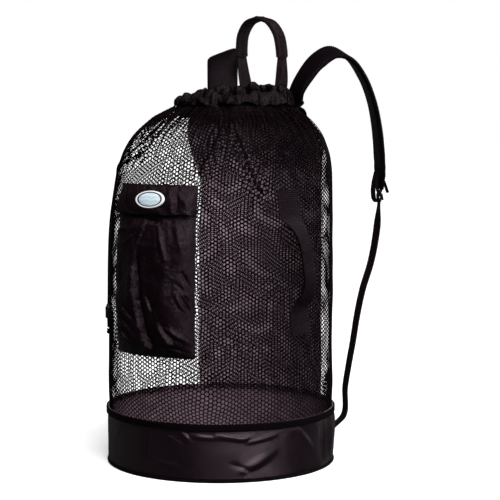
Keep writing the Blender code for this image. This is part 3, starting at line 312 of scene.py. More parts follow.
class BagColours(bpy.types.PropertyGroup):
    """Colours of the cloths and trims."""
    coated: FloatVectorProperty(
        name="Coated nylon", description="Outer side of the band, and the floor", subtype="COLOR", size=3,
        default=(0.0044, 0.0014, 0.0030), min=0.0, max=1.0)
    # Painted light: a pale colour on the band's inner side and the floor cloth's top, for the light that
    # falls on them through the net
    painted_inner_light: FloatVectorProperty(
        name="Lining", description="Inner side of the band", subtype="COLOR", size=3,
        default=(0.21, 0.150, 0.18), min=0.0, max=1.0)
    # Painted light: a pale colour on the back panel's inner side, for the light that falls on it through
    # the net
    panel: FloatVectorProperty(
        name="Panel lining", description="Inner side of the back panel", subtype="COLOR", size=3,
        default=(0.70, 0.52, 0.61), min=0.0, max=1.0)
    collar: FloatVectorProperty(
        name="Collar nylon", description="Collar and its skirt", subtype="COLOR", size=3,
        default=(0.0014, 0.0006, 0.0010), min=0.0, max=1.0)
    pocket: FloatVectorProperty(
        name="Pocket nylon", description="Pouch, flap and the panel's outer side", subtype="COLOR", size=3,
        default=(0.0036, 0.0010, 0.0023), min=0.0, max=1.0)
    yarn: FloatVectorProperty(
        name="Net yarn", description="Yarn of the net", subtype="COLOR", size=3,
        default=(0.0026, 0.0010, 0.0018), min=0.0, max=1.0)
    webbing: FloatVectorProperty(
        name="Webbing", description="Webbing, tapes, padding, thread and cord", subtype="COLOR", size=3,
        default=(0.0034, 0.0014, 0.0025), min=0.0, max=1.0)
    plastic: FloatVectorProperty(
        name="Plastic", description="Ladder locks and cord lock", subtype="COLOR", size=3,
        default=(0.0040, 0.0036, 0.0042), min=0.0, max=1.0)
    badge_rim: FloatVectorProperty(
        name="Badge rim", description="Rim of the oval badge", subtype="COLOR", size=3,
        default=(0.84, 0.85, 0.86), min=0.0, max=1.0)
    badge_ring: FloatVectorProperty(
        name="Badge ring", description="Ring inside the badge's rim", subtype="COLOR", size=3,
        default=(0.003, 0.006, 0.040), min=0.0, max=1.0)
    badge_field: FloatVectorProperty(
        name="Badge field", description="Middle of the badge", subtype="COLOR", size=3,
        default=(0.52, 0.66, 0.74), min=0.0, max=1.0)


# Numbers along curves and on the bag

def smooth(rows, share):
    """Values of a table at shares of its first column, by cubic Hermite curves."""
    rows = np.asarray(rows, float)
    share = np.clip(share, rows[0, 0], rows[-1, 0])
    slope = np.gradient(rows[:, 1:], rows[:, 0], axis=0)
    index = np.clip(np.searchsorted(rows[:, 0], share, side="right") - 1, 0, len(rows) - 2)
    step = (rows[index + 1, 0] - rows[index, 0])[..., None]
    t = (share - rows[index, 0])[..., None] / step
    start, end = rows[index, 1:], rows[index + 1, 1:]
    return ((2 * t**3 - 3 * t**2 + 1) * start + (t**3 - 2 * t**2 + t) * step * slope[index]
            + (3 * t**2 - 2 * t**3) * end + (t**3 - t**2) * step * slope[index + 1])


def run_along(points):
    """Distance travelled from the first point to each."""
    steps = np.linalg.norm(np.diff(points, axis=0), axis=1)
    return np.concatenate(([0.0], np.cumsum(steps)))


def curve_through(points, samples):
    """Evenly spaced points of a smooth curve through the given ones."""
    points = np.asarray(points, float)
    length = run_along(points)
    fine = smooth(np.column_stack((length, points)), np.linspace(0.0, length[-1], samples * 8))
    run = run_along(fine)
    even = np.linspace(0.0, run[-1], samples)
    return np.column_stack([np.interp(even, run, fine[:, axis]) for axis in range(3)])


def ease(value):
    """Smooth step from 0 to 1."""
    value = np.clip(value, 0.0, 1.0)
    return value * value * (3 - 2 * value)


def ripple(first, second, seed=0.0):
    """Uneven waves of both parameters, a sum of five sines of unlike directions."""
    total = np.zeros(np.broadcast(first, second).shape)
    for k in range(5):
        turn = 0.7 + 2.39996 * k + seed
        total += np.sin((1.0 + 0.45 * k) * (first * math.cos(turn) + second * math.sin(turn))
                        + 1.7 * k + 3.1 * seed) / (1.0 + 0.45 * k)
    return total / 3.0


def ring_at(height):
    """Radius and backward lean of the bag's outline at a height, from NET_OUTLINE:
    collar's radius + spread (bag's radius - collar's), and a share of COLLAR_LEAN."""
    share = (np.asarray(height, float) - NET_FOOT) / (NET_TOP - NET_FOOT)
    shape = smooth(NET_OUTLINE, share)
    radius = COLLAR_RADIUS + shape[..., 0] * (BAG_RADIUS - COLLAR_RADIUS)
    return radius, shape[..., 1] * COLLAR_LEAN


def on_bag(angle, height, out=0.0):
    """Points on the net's outer face: (r cos a, lean + r sin a, z), moved out along the
    normal, whose slope is the radius's change with height."""
    angle, height, out = np.broadcast_arrays(np.radians(angle), np.asarray(height, float), out)
    step = 0.001
    radius, lean = ring_at(height)
    above_radius, above_lean = ring_at(height + step)
    below_radius, below_lean = ring_at(height - step)
    slope = (above_radius - below_radius + (above_lean - below_lean) * np.sin(angle)) / (2 * step)
    steep = 1.0 / np.sqrt(1.0 + slope**2)
    point = np.stack((radius * np.cos(angle), lean + radius * np.sin(angle), height), -1)
    normal = np.stack((np.cos(angle) * steep, np.sin(angle) * steep, -slope * steep), -1)
    return point + normal * out[..., None]


def bearing(angle):
    """Level unit vector towards an angle."""
    turn = np.radians(angle)
    return np.stack((np.cos(turn), np.sin(turn), np.zeros(np.shape(turn))), -1)


def half_angle(width):
    """Half of the angle that a width takes up on the bag's side."""
    return math.degrees(width / 2 / BAG_RADIUS)


def turn_from(middle, angle):
    """Degrees from one angle to another by the shorter way round."""
    return (angle - middle + 180.0) % 360.0 - 180.0


def level_ring(radius, angle, height):
    """Points at a radius, an angle in degrees and a height: (r cos a, r sin a, z)."""
    turn = np.radians(angle)
    x, y, z = np.broadcast_arrays(radius * np.cos(turn), radius * np.sin(turn), height)
    return np.stack((x, y, z), -1)


def superellipse(sides, power_x, power_y):
    """Points of a rounded box of half size 1: signed powers of cos a and sin a."""
    turn = np.arange(sides) * math.tau / sides
    x, y = np.cos(turn), np.sin(turn)
    return np.sign(x) * np.abs(x)**power_x, np.sign(y) * np.abs(y)**power_y


def panel_reach(height):
    """Middle and half angle of the back panel at a height: both grow with flare, a
    power of the height above PANEL_FLARE_FROM."""
    flare = np.clip((height - PANEL_FLARE_FROM) / PANEL_FLARE_RISE, 0.0, 1.5)**1.3
    middle = PANEL_ANGLE + PANEL_SHIFT + PANEL_TURN * flare
    return middle, half_angle(PANEL_WIDTH) * (1 + PANEL_FLARE * flare)


def ridge(x, y, fold):
    """Height of a soft ridge along a line: out times exp(-(distance / width)^2)."""
    x0, y0, x1, y1, width, out = fold
    run = np.clip(((x - x0) * (x1 - x0) + (y - y0) * (y1 - y0))
                  / ((x1 - x0)**2 + (y1 - y0)**2), 0.0, 1.0)
    far = (x - x0 - run * (x1 - x0))**2 + (y - y0 - run * (y1 - y0))**2
    taper = 0.35 + 0.65 * np.sin(math.pi * np.clip(run, 0.04, 0.96))
    return out * taper * np.exp(-far / width**2)


# Meshes

def grid_faces(rows, columns, wrap=False, wrap_rows=False):
    """Corners of a grid's faces: columns run anticlockwise and rows run up."""
    j, i = np.meshgrid(np.arange(rows if wrap_rows else rows - 1),
                       np.arange(columns if wrap else columns - 1), indexing="ij")
    right, above = (i + 1) % columns, (j + 1) % rows
    return np.stack((j * columns + i, j * columns + right, above * columns + right,
                     above * columns + i), -1).reshape(-1, 4)


def grid_uv(across, up):
    """UV of each face's corners, from the distance across each column and up each row.

    A wrapped grid's across, or up, has one more value than it has columns, or rows.
    """
    j, i = np.meshgrid(np.arange(len(up) - 1), np.arange(len(across) - 1), indexing="ij")
    u = np.stack((across[i], across[i + 1], across[i + 1], across[i]), -1)
    v = np.stack((up[j], up[j], up[j + 1], up[j + 1]), -1)
    return np.stack((u, v), -1).reshape(-1, 2)


def end_caps(count, sides):
    """The two end faces of a tube of that many rings."""
    return [list(range(sides)), list(range(count * sides - 1, (count - 1) * sides - 1, -1))]


def mesh_object(name, points, faces, uv=None, outward=False):
    """Object of points and faces with a UV map in metres, smooth-shaded."""
    mesh = bpy.data.meshes.new(name)
    mesh.from_pydata(np.asarray(points, float).reshape(-1, 3).tolist(), [],
                     faces if isinstance(faces, list) else faces.tolist())
    if uv is not None:
        layer = mesh.uv_layers.new(name="UVMap")
        full = np.zeros((len(mesh.loops), 2))
        full[:len(uv)] = uv[:len(full)]
        layer.data.foreach_set("uv", full.ravel())
    if outward:
        edit = bmesh.new()
        edit.from_mesh(mesh)
        bmesh.ops.recalc_face_normals(edit, faces=edit.faces)
        edit.to_mesh(mesh)
        edit.free()
    mesh.shade_smooth()
    obj = bpy.data.objects.new(name, mesh)
    bpy.context.scene.collection.objects.link(obj)
    return obj


def wear(obj, material, slot, *nodes):
    """Gives a piece its finish and its body, and hides the imported nodes it takes the place of. slot: not
    used.
    """
    obj.data.materials.append(material)
    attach(obj, "root")
    if nodes:
        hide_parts(*nodes)
    return obj


def thicken(obj, thickness, offset=1.0):
    """Thickens a cloth: +1 adds the wall outside its surface and -1 inside."""
    wall = obj.modifiers.new("wall", "SOLIDIFY")
    wall.thickness = thickness
    wall.offset = offset
    return obj


def cloth_sheet(name, points, across, up, thickness, wrap=False, offset=1.0):
    """A cloth wall on a grid of points with its UV in metres."""
    rows, columns = points.shape[:2]
    obj = mesh_object(name, points, grid_faces(rows, columns, wrap), grid_uv(across, up))
    return thicken(obj, thickness, offset)


def closed_tube(name, rings, along, around_length, ring_path=False):
    """A tube through rings of points: closed on itself, or capped at both ends."""
    rings = np.asarray(rings, float)
    count, sides = rings.shape[:2]
    across = np.linspace(0.0, around_length, sides + 1)
    faces = grid_faces(count, sides, wrap=True, wrap_rows=ring_path)
    if ring_path:
        along = np.append(along, along[-1] + along[1] - along[0])
    uv = grid_uv(across, along)
    if not ring_path:
        faces = faces.tolist() + end_caps(count, sides)
    return mesh_object(name, rings, faces, uv, outward=True)


def path_frame(centres, widths):
    """Unit tangent, width and normal of a band at each point of its path."""
    tangent = np.gradient(centres, axis=0)
    tangent /= np.linalg.norm(tangent, axis=1, keepdims=True)
    across = widths - (widths * tangent).sum(1, keepdims=True) * tangent
    across /= np.linalg.norm(across, axis=1, keepdims=True)
    return tangent, across, np.cross(tangent, across)


def band_rings(centres, widths, section, breadth, thickness):
    """Rings of a band: a section of shares of its half breadth and half thickness."""
    _, across, normal = path_frame(centres, widths)
    half = np.broadcast_to(np.asarray(breadth, float) / 2, len(centres))[:, None, None]
    thick = np.broadcast_to(np.asarray(thickness, float) / 2, len(centres))[:, None, None]
    x, y = section[:, 0][None, :, None], section[:, 1][None, :, None]
    return centres[:, None, :] + across[:, None, :] * half * x + normal[:, None, :] * thick * y


def flat_section(steps=10, edge=0.9):
    """Section of webbing: flat faces and rounded edges, as shares of half its sizes."""
    x = np.linspace(-edge, edge, steps)
    top = np.stack((x, np.ones(steps)), -1)
    turn = np.radians((60.0, 20.0, -20.0, -60.0))
    side = np.stack((edge + (1 - edge) * np.cos(turn), np.sin(turn)), -1)
    return np.concatenate((top, side, -top, -side))


def crowned_section(steps=18, flat=2.6):
    """Section of a padded strap: |x|^flat crown between thin sewn edges."""
    x = np.sin(np.linspace(-1, 1, steps) * math.pi / 2)
    y = 0.16 + 0.84 * (1 - np.abs(x)**(2 * flat))**0.5
    return np.concatenate((np.stack((x, y), -1), np.stack((x[::-1], -y[::-1]), -1)))


def stitches(name, rows, pitch):
    """Raised stitches along rows of (path, normals): a thin eight-faced bead each."""
    shape = np.array([(0.36 * pitch, 0, 0), (-0.36 * pitch, 0, 0), (0, STITCH_SIDE, 0),
                      (0, -STITCH_SIDE, 0), (0, 0, STITCH_PROUD), (0, 0, -STITCH_PROUD)])
    turns = np.array([(0, 2, 4), (2, 1, 4), (1, 3, 4), (3, 0, 4),
                      (2, 0, 5), (1, 2, 5), (3, 1, 5), (0, 3, 5)])
    points, faces, count = [], [], 0
    for path, normal in rows:
        path = np.asarray(path, float)
        normal = np.broadcast_to(np.asarray(normal, float), path.shape)
        run = run_along(path)
        at = np.arange(pitch / 2, run[-1], pitch)
        middle = np.column_stack([np.interp(at, run, path[:, axis]) for axis in range(3)])
        out = np.column_stack([np.interp(at, run, normal[:, axis]) for axis in range(3)])
        slope = np.column_stack([np.gradient(path[:, axis], run) for axis in range(3)])
        along = np.column_stack([np.interp(at, run, slope[:, axis]) for axis in range(3)])
        along /= np.linalg.norm(along, axis=1, keepdims=True)
        side = np.cross(out, along)
        bead = (middle[:, None] + along[:, None] * shape[None, :, :1]
                + side[:, None] * shape[None, :, 1:2] + out[:, None] * shape[None, :, 2:])
        points.append(bead.reshape(-1, 3))
        faces.append((np.arange(len(at))[:, None, None] * 6 + turns[None] + count).reshape(-1, 3))
        count += 6 * len(at)
    return mesh_object(name, np.concatenate(points), np.concatenate(faces))


# Finishes

def math_node(tree, operation, first, second=0.0):
    """Output of one Math node on sockets or numbers."""
    node = tree.nodes.new("ShaderNodeMath")
    node.operation = operation
    for socket, value in zip(node.inputs, (first, second)):
        if isinstance(value, bpy.types.NodeSocket):
            tree.links.new(value, socket)
        else:
            socket.default_value = value
    return node.outputs[0]


def noise_node(tree, place, scale, detail=3.0, roughness=0.55):
    """Factor of a noise at that many waves a metre."""
    node = tree.nodes.new("ShaderNodeTexNoise")
    node.inputs["Scale"].default_value = scale
    node.inputs["Detail"].default_value = detail
    node.inputs["Roughness"].default_value = roughness
    tree.links.new(place, node.inputs["Vector"])
    return node.outputs["Fac"]


def bump_node(tree, height, distance, under=None, strength=1.0):
    """Normal of a bump, laid on the one under it."""
    node = tree.nodes.new("ShaderNodeBump")
    node.inputs["Distance"].default_value = distance
    node.inputs["Strength"].default_value = strength
    tree.links.new(height, node.inputs["Height"])
    if under is not None:
        tree.links.new(under, node.inputs["Normal"])
    return node.outputs["Normal"]


def range_node(tree, value, low, high, start=0.0, end=1.0):
    """Carries a value from start..end to low..high."""
    node = tree.nodes.new("ShaderNodeMapRange")
    tree.links.new(value, node.inputs["Value"])
    for name, number in (("From Min", start), ("From Max", end), ("To Min", low), ("To Max", high)):
        node.inputs[name].default_value = number
    return node.outputs["Result"]


def shade_node(tree, value, colour, darker, lighter):
    """Colour that goes from a darker to a lighter shade of one dye with a value."""
    ramp = tree.nodes.new("ShaderNodeValToRGB")
    tree.links.new(value, ramp.inputs["Fac"])
    ramp.color_ramp.elements[0].color = (*[c * darker for c in colour], 1.0)
    ramp.color_ramp.elements[1].color = (*[min(1.0, c * lighter) for c in colour], 1.0)
    ramp.color_ramp.elements[0].position = 0.25
    ramp.color_ramp.elements[1].position = 0.75
    return ramp.outputs["Color"]


def blank_finish(name, roughness, specular):
    """A new material with its shader's constant sockets set."""
    material = bpy.data.materials.new(name)
    material.use_nodes = True
    tree = material.node_tree
    shader = tree.nodes["Principled BSDF"]
    shader.inputs["Roughness"].default_value = roughness
    shader.inputs["Specular IOR Level"].default_value = specular
    shader.inputs["Specular Tint"].default_value = REFLECTION_TINT
    return material, tree, shader


def blend_node(tree, factor, first, second):
    """Colour that goes from the first to the second, sockets or colours, with a factor."""
    node = tree.nodes.new("ShaderNodeMix")
    node.data_type = "RGBA"
    tree.links.new(factor, node.inputs[0])
    for socket, value in ((node.inputs[6], first), (node.inputs[7], second)):
        if isinstance(value, bpy.types.NodeSocket):
            tree.links.new(value, socket)
        else:
            socket.default_value = (*value, 1.0)
    return node.outputs[2]


def places(tree):
    """Object coordinates in metres, and the two UV directions in metres."""
    place = tree.nodes.new("ShaderNodeTexCoord").outputs["Object"]
    split = tree.nodes.new("ShaderNodeSeparateXYZ")
    tree.links.new(tree.nodes.new("ShaderNodeUVMap").outputs["UV"], split.inputs[0])
    return place, split.outputs["X"], split.outputs["Y"]


def waves(tree, distance, pitch, shift=0.0):
    """Sine of a distance, one turn each pitch."""
    turned = math_node(tree, "MULTIPLY", distance, math.tau / pitch)
    if isinstance(shift, bpy.types.NodeSocket) or shift:
        turned = math_node(tree, "ADD", turned, shift)
    return math_node(tree, "SINE", turned)


def cloth_finish(name, colour, roughness, specular, thread, crumple, painted_inner_light=None, grain=0.10):
    """Plain-woven nylon: sin(u) sin(v) threads, crumples, an uneven dye with painted shade in the weave's
    hollows, and a pale colour painted on faces that look towards the bag's axis, as painted light through
    the net."""
    material, tree, shader = blank_finish(name, roughness, specular)
    place, u, v = places(tree)
    weave = math_node(tree, "MULTIPLY", waves(tree, u, thread), waves(tree, v, thread))
    broad = noise_node(tree, place, 34.0, 4.0, 0.6)
    fine = noise_node(tree, place, 210.0, 3.0)
    # Uneven dye from the broad noise, and painted shade: darker where the weave's threads dip
    shade = math_node(tree, "ADD", broad, math_node(tree, "MULTIPLY", weave, 0.10))
    dye = shade_node(tree, shade, colour, 0.65, 1.35)
    if painted_inner_light is not None:
        # Painted light: faces that look towards the bag's axis or, on the floor cloth, up get the pale
        # inner colour
        flat = tree.nodes.new("ShaderNodeVectorMath")
        flat.operation = "MULTIPLY_ADD"
        flat.inputs[1].default_value = (1.0, 1.0, 0.0)
        flat.inputs[2].default_value = (0.0, 0.0, -0.05)
        tree.links.new(place, flat.inputs[0])
        toward = tree.nodes.new("ShaderNodeVectorMath")
        toward.operation = "DOT_PRODUCT"
        tree.links.new(flat.outputs[0], toward.inputs[0])
        geometry = tree.nodes.new("ShaderNodeNewGeometry")
        tree.links.new(geometry.outputs["True Normal"], toward.inputs[1])
        inside = math_node(tree, "LESS_THAN", toward.outputs["Value"], 0.0)
        dye = blend_node(tree, inside, dye, shade_node(tree, shade, painted_inner_light, 0.65, 1.35))
    tree.links.new(dye, shader.inputs["Base Color"])
    tree.links.new(range_node(tree, fine, roughness - 0.07, roughness + 0.07, 0.3, 0.7),
                   shader.inputs["Roughness"])
    normal = bump_node(tree, broad, crumple)
    normal = bump_node(tree, fine, crumple * grain, normal)
    normal = bump_node(tree, weave, thread * 0.10, normal)
    tree.links.new(normal, shader.inputs["Normal"])
    return material


def webbing_finish(name, colour, roughness, specular, rib, lean):
    """Woven webbing: ribs that lean one way in the left and the other in the right half."""
    material, tree, shader = blank_finish(name, roughness, specular)
    place, u, v = places(tree)
    half_way = math_node(tree, "PINGPONG", u, rib * 2.5)
    zigzag = math_node(tree, "MULTIPLY", half_way, lean / rib * math.tau)
    ribs = waves(tree, v, rib, zigzag)
    threads = waves(tree, u, rib * 0.62)
    height = math_node(tree, "ADD", ribs, math_node(tree, "MULTIPLY", threads, 0.5))
    fuzz = noise_node(tree, place, 420.0, 3.0)
    broad = noise_node(tree, place, 40.0, 3.0)
    # Painted shade: darker in the hollows of the ribs and threads; the fuzz and broad noise give an uneven
    # dye
    shade = math_node(tree, "ADD", math_node(tree, "MULTIPLY", height, 0.16),
                      math_node(tree, "ADD", math_node(tree, "MULTIPLY", fuzz, 0.5),
                                math_node(tree, "MULTIPLY", broad, 0.5)))
    tree.links.new(shade_node(tree, shade, colour, 0.55, 1.55), shader.inputs["Base Color"])
    tree.links.new(range_node(tree, fuzz, roughness - 0.08, roughness + 0.08, 0.3, 0.7),
                   shader.inputs["Roughness"])
    normal = bump_node(tree, height, rib * 0.11)
    normal = bump_node(tree, fuzz, 0.00012, normal)
    tree.links.new(normal, shader.inputs["Normal"])
    return material


def yarn_finish(name, colour):
    """Knitted yarn: fine fibres and knots along it."""
    material, tree, shader = blank_finish(name, 0.62, 0.04)
    place, _, _ = places(tree)
    fibres = noise_node(tree, place, 900.0, 2.0)
    broad = noise_node(tree, place, 60.0, 2.0)
    mixed = math_node(tree, "MULTIPLY", math_node(tree, "ADD", fibres, broad), 0.5)
    tree.links.new(shade_node(tree, mixed, colour, 0.6, 1.5), shader.inputs["Base Color"])
    tree.links.new(range_node(tree, fibres, 0.46, 0.66, 0.3, 0.7), shader.inputs["Roughness"])
    tree.links.new(bump_node(tree, fibres, 0.00015), shader.inputs["Normal"])
    return material


def plastic_finish(name, colour, roughness, specular):
    """Moulded plastic: a fine spark-eroded grain and slightly rubbed patches."""
    material, tree, shader = blank_finish(name, roughness, specular)
    place, _, _ = places(tree)
    grain = noise_node(tree, place, 2600.0, 2.0)
    rubbed = noise_node(tree, place, 110.0, 3.0)
    tree.links.new(shade_node(tree, rubbed, colour, 0.8, 1.3), shader.inputs["Base Color"])
    tree.links.new(range_node(tree, rubbed, roughness - 0.08, roughness + 0.10, 0.3, 0.7),
                   shader.inputs["Roughness"])
    tree.links.new(bump_node(tree, grain, 0.00004), shader.inputs["Normal"])
    return material


def badge_finish(name, rim, ring, field):
    """Moulded badge: rim, ring and field by the oval's radius, with plain wavy bars."""
    material, tree, shader = blank_finish(name, 0.38, 0.4)
    place, u, v = places(tree)
    radius = math_node(tree, "SQRT", math_node(tree, "ADD", math_node(tree, "MULTIPLY", u, u),
                                               math_node(tree, "MULTIPLY", v, v)))
    wave = math_node(tree, "ADD", v, math_node(tree, "MULTIPLY", waves(tree, u, 0.62), 0.07))
    bars = math_node(tree, "GREATER_THAN", waves(tree, wave, 0.46, 1.57), 0.25)
    inner = math_node(tree, "LESS_THAN", radius, 0.74)
    grain = noise_node(tree, place, 1200.0, 2.0)
    pale = [0.5 * (a + b) for a, b in zip(rim, field)]
    colour = blend_node(tree, inner, ring, blend_node(tree, bars, field, pale))
    colour = blend_node(tree, math_node(tree, "GREATER_THAN", radius, 0.84), colour, rim)
    tree.links.new(colour, shader.inputs["Base Color"])
    tree.links.new(range_node(tree, grain, 0.32, 0.48, 0.3, 0.7), shader.inputs["Roughness"])
    tree.links.new(bump_node(tree, grain, 0.00005), shader.inputs["Normal"])
    return material


# Each finish: what makes it, its material's name, the colour of the panel that it takes
# and how many times as strong. Then come roughness and specular level, with a cloth's
# thread and crumple or a webbing's rib and lean.
FINISHES = {
    "coated nylon": (cloth_finish, "coated_nylon", "coated", 1.0, 0.15, 0.52, 0.0009, 0.0006),
    "panel nylon": (cloth_finish, "panel_nylon", "pocket", 2.0, 0.45, 0.12, 0.0010, 0.0016),
    "collar nylon": (cloth_finish, "collar_nylon", "collar", 1.0, 0.30, 0.11, 0.0008, 0.0030),
    "pocket nylon": (cloth_finish, "pocket_nylon", "pocket", 1.0, 0.31, 0.16, 0.0008, 0.0045),
    "padding nylon": (cloth_finish, "padding_nylon", "webbing", 0.7, 0.38, 0.08, 0.0010, 0.0020),
    "tape": (webbing_finish, "binding_tape", "webbing", 0.5, 0.52, 0.05, 0.0011, 0.0),
    "webbing": (webbing_finish, "webbing", "webbing", 1.3, 0.42, 0.13, 0.0021, 0.6),
    "cord": (webbing_finish, "braided_cord", "webbing", 1.0, 0.50, 0.08, 0.0016, 1.0),
    "yarn": (yarn_finish, "net_yarn", "yarn", 1.0),
    "thread": (yarn_finish, "stitch_thread", "webbing", 2.2),
    "plastic": (plastic_finish, "moulded_plastic", "plastic", 1.0, 0.32, 0.28),
    "badge": (badge_finish, "badge_rubber", "badge_rim", 1.0),
}
MADE = {}


def finish(name):
    """Makes each finish once, in the colours of the panel."""
    if name not in MADE:
        tint = bpy.context.scene.bag_colours
        make, label, dye, strength, *numbers = FINISHES[name]
        # The band, the floor cloth and the panel get a pale colour on their inner sides: painted light
        # through the net
        more = {"coated nylon": {"painted_inner_light": tint.painted_inner_light, "grain": 0.02},
                "panel nylon": {"painted_inner_light": tint.panel},
                "badge": {"ring": tint.badge_ring, "field": tint.badge_field}}.get(name, {})
        MADE[name] = make(label, [strength * c for c in getattr(tint, dye)], *numbers, **more)
    return MADE[name]


# Pieces

class BAG_OT_stage(bpy.types.Operator):
    """Floor, white surround, soft lights and the photograph's camera"""
    bl_idname = "bag.stage"
    bl_label = "Stage"

    def execute(self, context):
        scene = context.scene
        scene.view_settings.view_transform = "Standard"
        lens = bpy.data.cameras.new("camera")
        lens.sensor_width = CAMERA_SENSOR
        lens.lens = CAMERA_LENS
        lens.clip_end = 100.0
        camera = bpy.data.objects.new("camera", lens)
        camera.location = CAMERA_AT
        camera.rotation_euler = Vector(CAMERA_TOWARDS).to_track_quat("-Z", "Y").to_euler()
        scene.collection.objects.link(camera)
        scene.camera = camera

        # White behind the bag, and a dimmer, even light on it
        world = bpy.data.worlds.new("studio")
        world.use_nodes = True
        tree = world.node_tree
        dim = tree.nodes["Background"]
        dim.inputs["Color"].default_value = (0.95, 0.96, 1.0, 1.0)
        dim.inputs["Strength"].default_value = ROOM_LIGHT
        white = tree.nodes.new("ShaderNodeBackground")
        white.inputs["Color"].default_value = (1.0, 1.0, 1.0, 1.0)
        self.seen_as(tree, white, dim, tree.nodes["World Output"])
        scene.world = world

        corners = [(x * FLOOR_REACH, y * FLOOR_REACH, 0.0) for x, y in ((-1, -1), (1, -1), (1, 1), (-1, 1))]
        floor = mesh_object("floor", corners, [[0, 1, 2, 3]])
        material, tree, shader = blank_finish("pale_floor", 0.8, 0.1)
        shader.inputs["Base Color"].default_value = (0.97, 0.97, 0.97, 1.0)
        shader.inputs["Emission Color"].default_value = (1.0, 1.0, 1.0, 1.0)
        shader.inputs["Emission Strength"].default_value = 0.25
        dim = tree.nodes.new("ShaderNodeBsdfDiffuse")
        dim.inputs["Color"].default_value = (ROOM_LIGHT, ROOM_LIGHT, ROOM_LIGHT, 1.0)
        self.seen_as(tree, shader, dim, tree.nodes["Material Output"])
        floor.data.materials.append(material)
        for name, kind, angle, distance, height, size, tall, power in LIGHTS:
            lamp = bpy.data.lights.new(name, kind)
            lamp.energy = power
            if kind == "SUN":
                lamp.angle = size
            else:
                lamp.shape = "RECTANGLE"
                lamp.size, lamp.size_y = size, tall
            place = Vector(bearing(angle) * distance) + Vector((0.0, 0.0, height))
            light = bpy.data.objects.new(name, lamp)
            light.location = place
            light.rotation_euler = (LIT_MIDDLE - place).to_track_quat("-Z", "Y").to_euler()
            scene.collection.objects.link(light)
        return {"FINISHED"}

    def seen_as(self, tree, seen, dim, output):
        """One shader for what the camera sees and a dimmer one for every other ray."""
        chosen = tree.nodes.new("ShaderNodeMixShader")
        rays = tree.nodes.new("ShaderNodeLightPath")
        tree.links.new(rays.outputs["Is Camera Ray"], chosen.inputs[0])
        tree.links.new(dim.outputs[0], chosen.inputs[1])
        tree.links.new(seen.outputs[0], chosen.inputs[2])
        tree.links.new(chosen.outputs[0], output.inputs["Surface"])


def cord_path(name):
    """Centre line of one of the drawcord's ends, from the flap to the knot."""
    end = POCKET_ANGLE - half_angle(POCKET_WIDTH + 2 * FLAP_MARGIN)
    turn, out, height = np.array(CORD_ROUTES[name]).T
    angle = end - math.degrees(CORD_LEAVES / BAG_RADIUS) + turn
    return curve_through(on_bag(angle, height, out), 32)


def round_tube(name, centres, radius, sides=10, start_normal=(0.0, 0.0, 1.0), swell=None):
    """A round tube along a path: centre + radius (cos a, sin a) in the path's own frame."""
    tangent = np.gradient(centres, axis=0)
    tangent /= np.linalg.norm(tangent, axis=1, keepdims=True)
    across = np.empty_like(centres)
    last = np.asarray(start_normal, float)
    for index, direction in enumerate(tangent):
        last = last - direction * (last @ direction)
        last /= np.linalg.norm(last)
        across[index] = last
    normal = np.cross(tangent, across)
    turn = np.arange(sides) * math.tau / sides
    size = radius * (np.ones(len(centres)) if swell is None else swell)
    rings = (centres[:, None] + across[:, None] * (np.cos(turn)[None, :, None] * size[:, None, None])
             + normal[:, None] * (np.sin(turn)[None, :, None] * size[:, None, None]))
    return closed_tube(name, rings, run_along(centres), math.tau * radius)


class BAG_OT_drawcord(bpy.types.Operator):
    """The pocket's drawcord: two braided ends, the cord lock and the knot"""
    bl_idname = "bag.drawcord"
    bl_label = "Drawcord"

    def execute(self, context):
        paths = {name: cord_path(name) for name in CORD_ROUTES}
        front, rear = paths.values()
        side = rear[-6] - front[-6]
        facing = math.atan2(side[1], side[0])
        middle = [path[np.argmin(np.abs(path[:, 2] - LOCK_AT))] for path in (front, rear)]
        middle = (middle[0] + middle[1]) / 2
        middle[2] = LOCK_AT
        along, outward = bearing(math.degrees(facing)), bearing(math.degrees(facing) + 90.0)
        if outward @ middle < 0:
            outward = -outward
        lock = self.lock(middle, along, outward)
        wear(lock, finish("plastic"), "plastic", "cord_lock")

        # A trefoil drawn small: (sin t + 2 sin 2t, cos t - 2 cos 2t, -sin 3t)
        turn = np.linspace(0.0, math.tau, 72, endpoint=False)
        loop = np.stack((np.sin(turn) + 2 * np.sin(2 * turn), np.cos(turn) - 2 * np.cos(2 * turn),
                         -1.3 * np.sin(3 * turn)), -1) * KNOT_LOOP
        centre = (front[-1] + rear[-1]) / 2 - UP * (KNOT_RADIUS + GAP)
        spine = centre + loop[:, :1] * along + loop[:, 2:] * outward * 0.8 + loop[:, 1:2] * UP * 1.15
        spine = np.vstack((spine, spine[:1]))
        knot = round_tube("cord_knot_tie", spine, KNOT_CORD, 8, outward)
        wear(knot, finish("cord"), "cord", "cord_knot")
        for name, path in paths.items():
            cord = round_tube(name.replace("pocket", "braided"), path, CORD_DIAMETER / 2, 12)
            wear(cord, finish("cord"), "cord", name)
        return {"FINISHED"}

    def lock(self, middle, along, outward):
        """Barrel of the lock with its waist and push button: superellipse rings up a line."""
        rise, size = np.array([
            (-0.5, 0.80), (-0.49, 0.92), (-0.44, 1.00), (-0.20, 0.96), (0.10, 1.00), (0.24, 1.00),
            (0.30, 0.94), (0.33, 0.80), (0.34, 0.66), (0.42, 0.66), (0.47, 0.62), (0.49, 0.52),
            (0.5, 0.30),
        ]).T
        x, y = superellipse(28, 0.6, 0.6)
        flat = (x * LOCK_WIDTH / 2)[:, None] * along + (y * LOCK_DEPTH / 2)[:, None] * outward
        rings = middle + size[:, None, None] * flat[None] + (rise * LOCK_HEIGHT)[:, None, None] * UP
        return closed_tube("lock_barrel", rings, rise * LOCK_HEIGHT, 0.04)


def outline_table():
    """Heights and distances run up the net's outline."""
    height = np.linspace(NET_FOOT, NET_TOP, 600)
    radius, _ = ring_at(height)
    return height, run_along(np.column_stack((radius, height)))


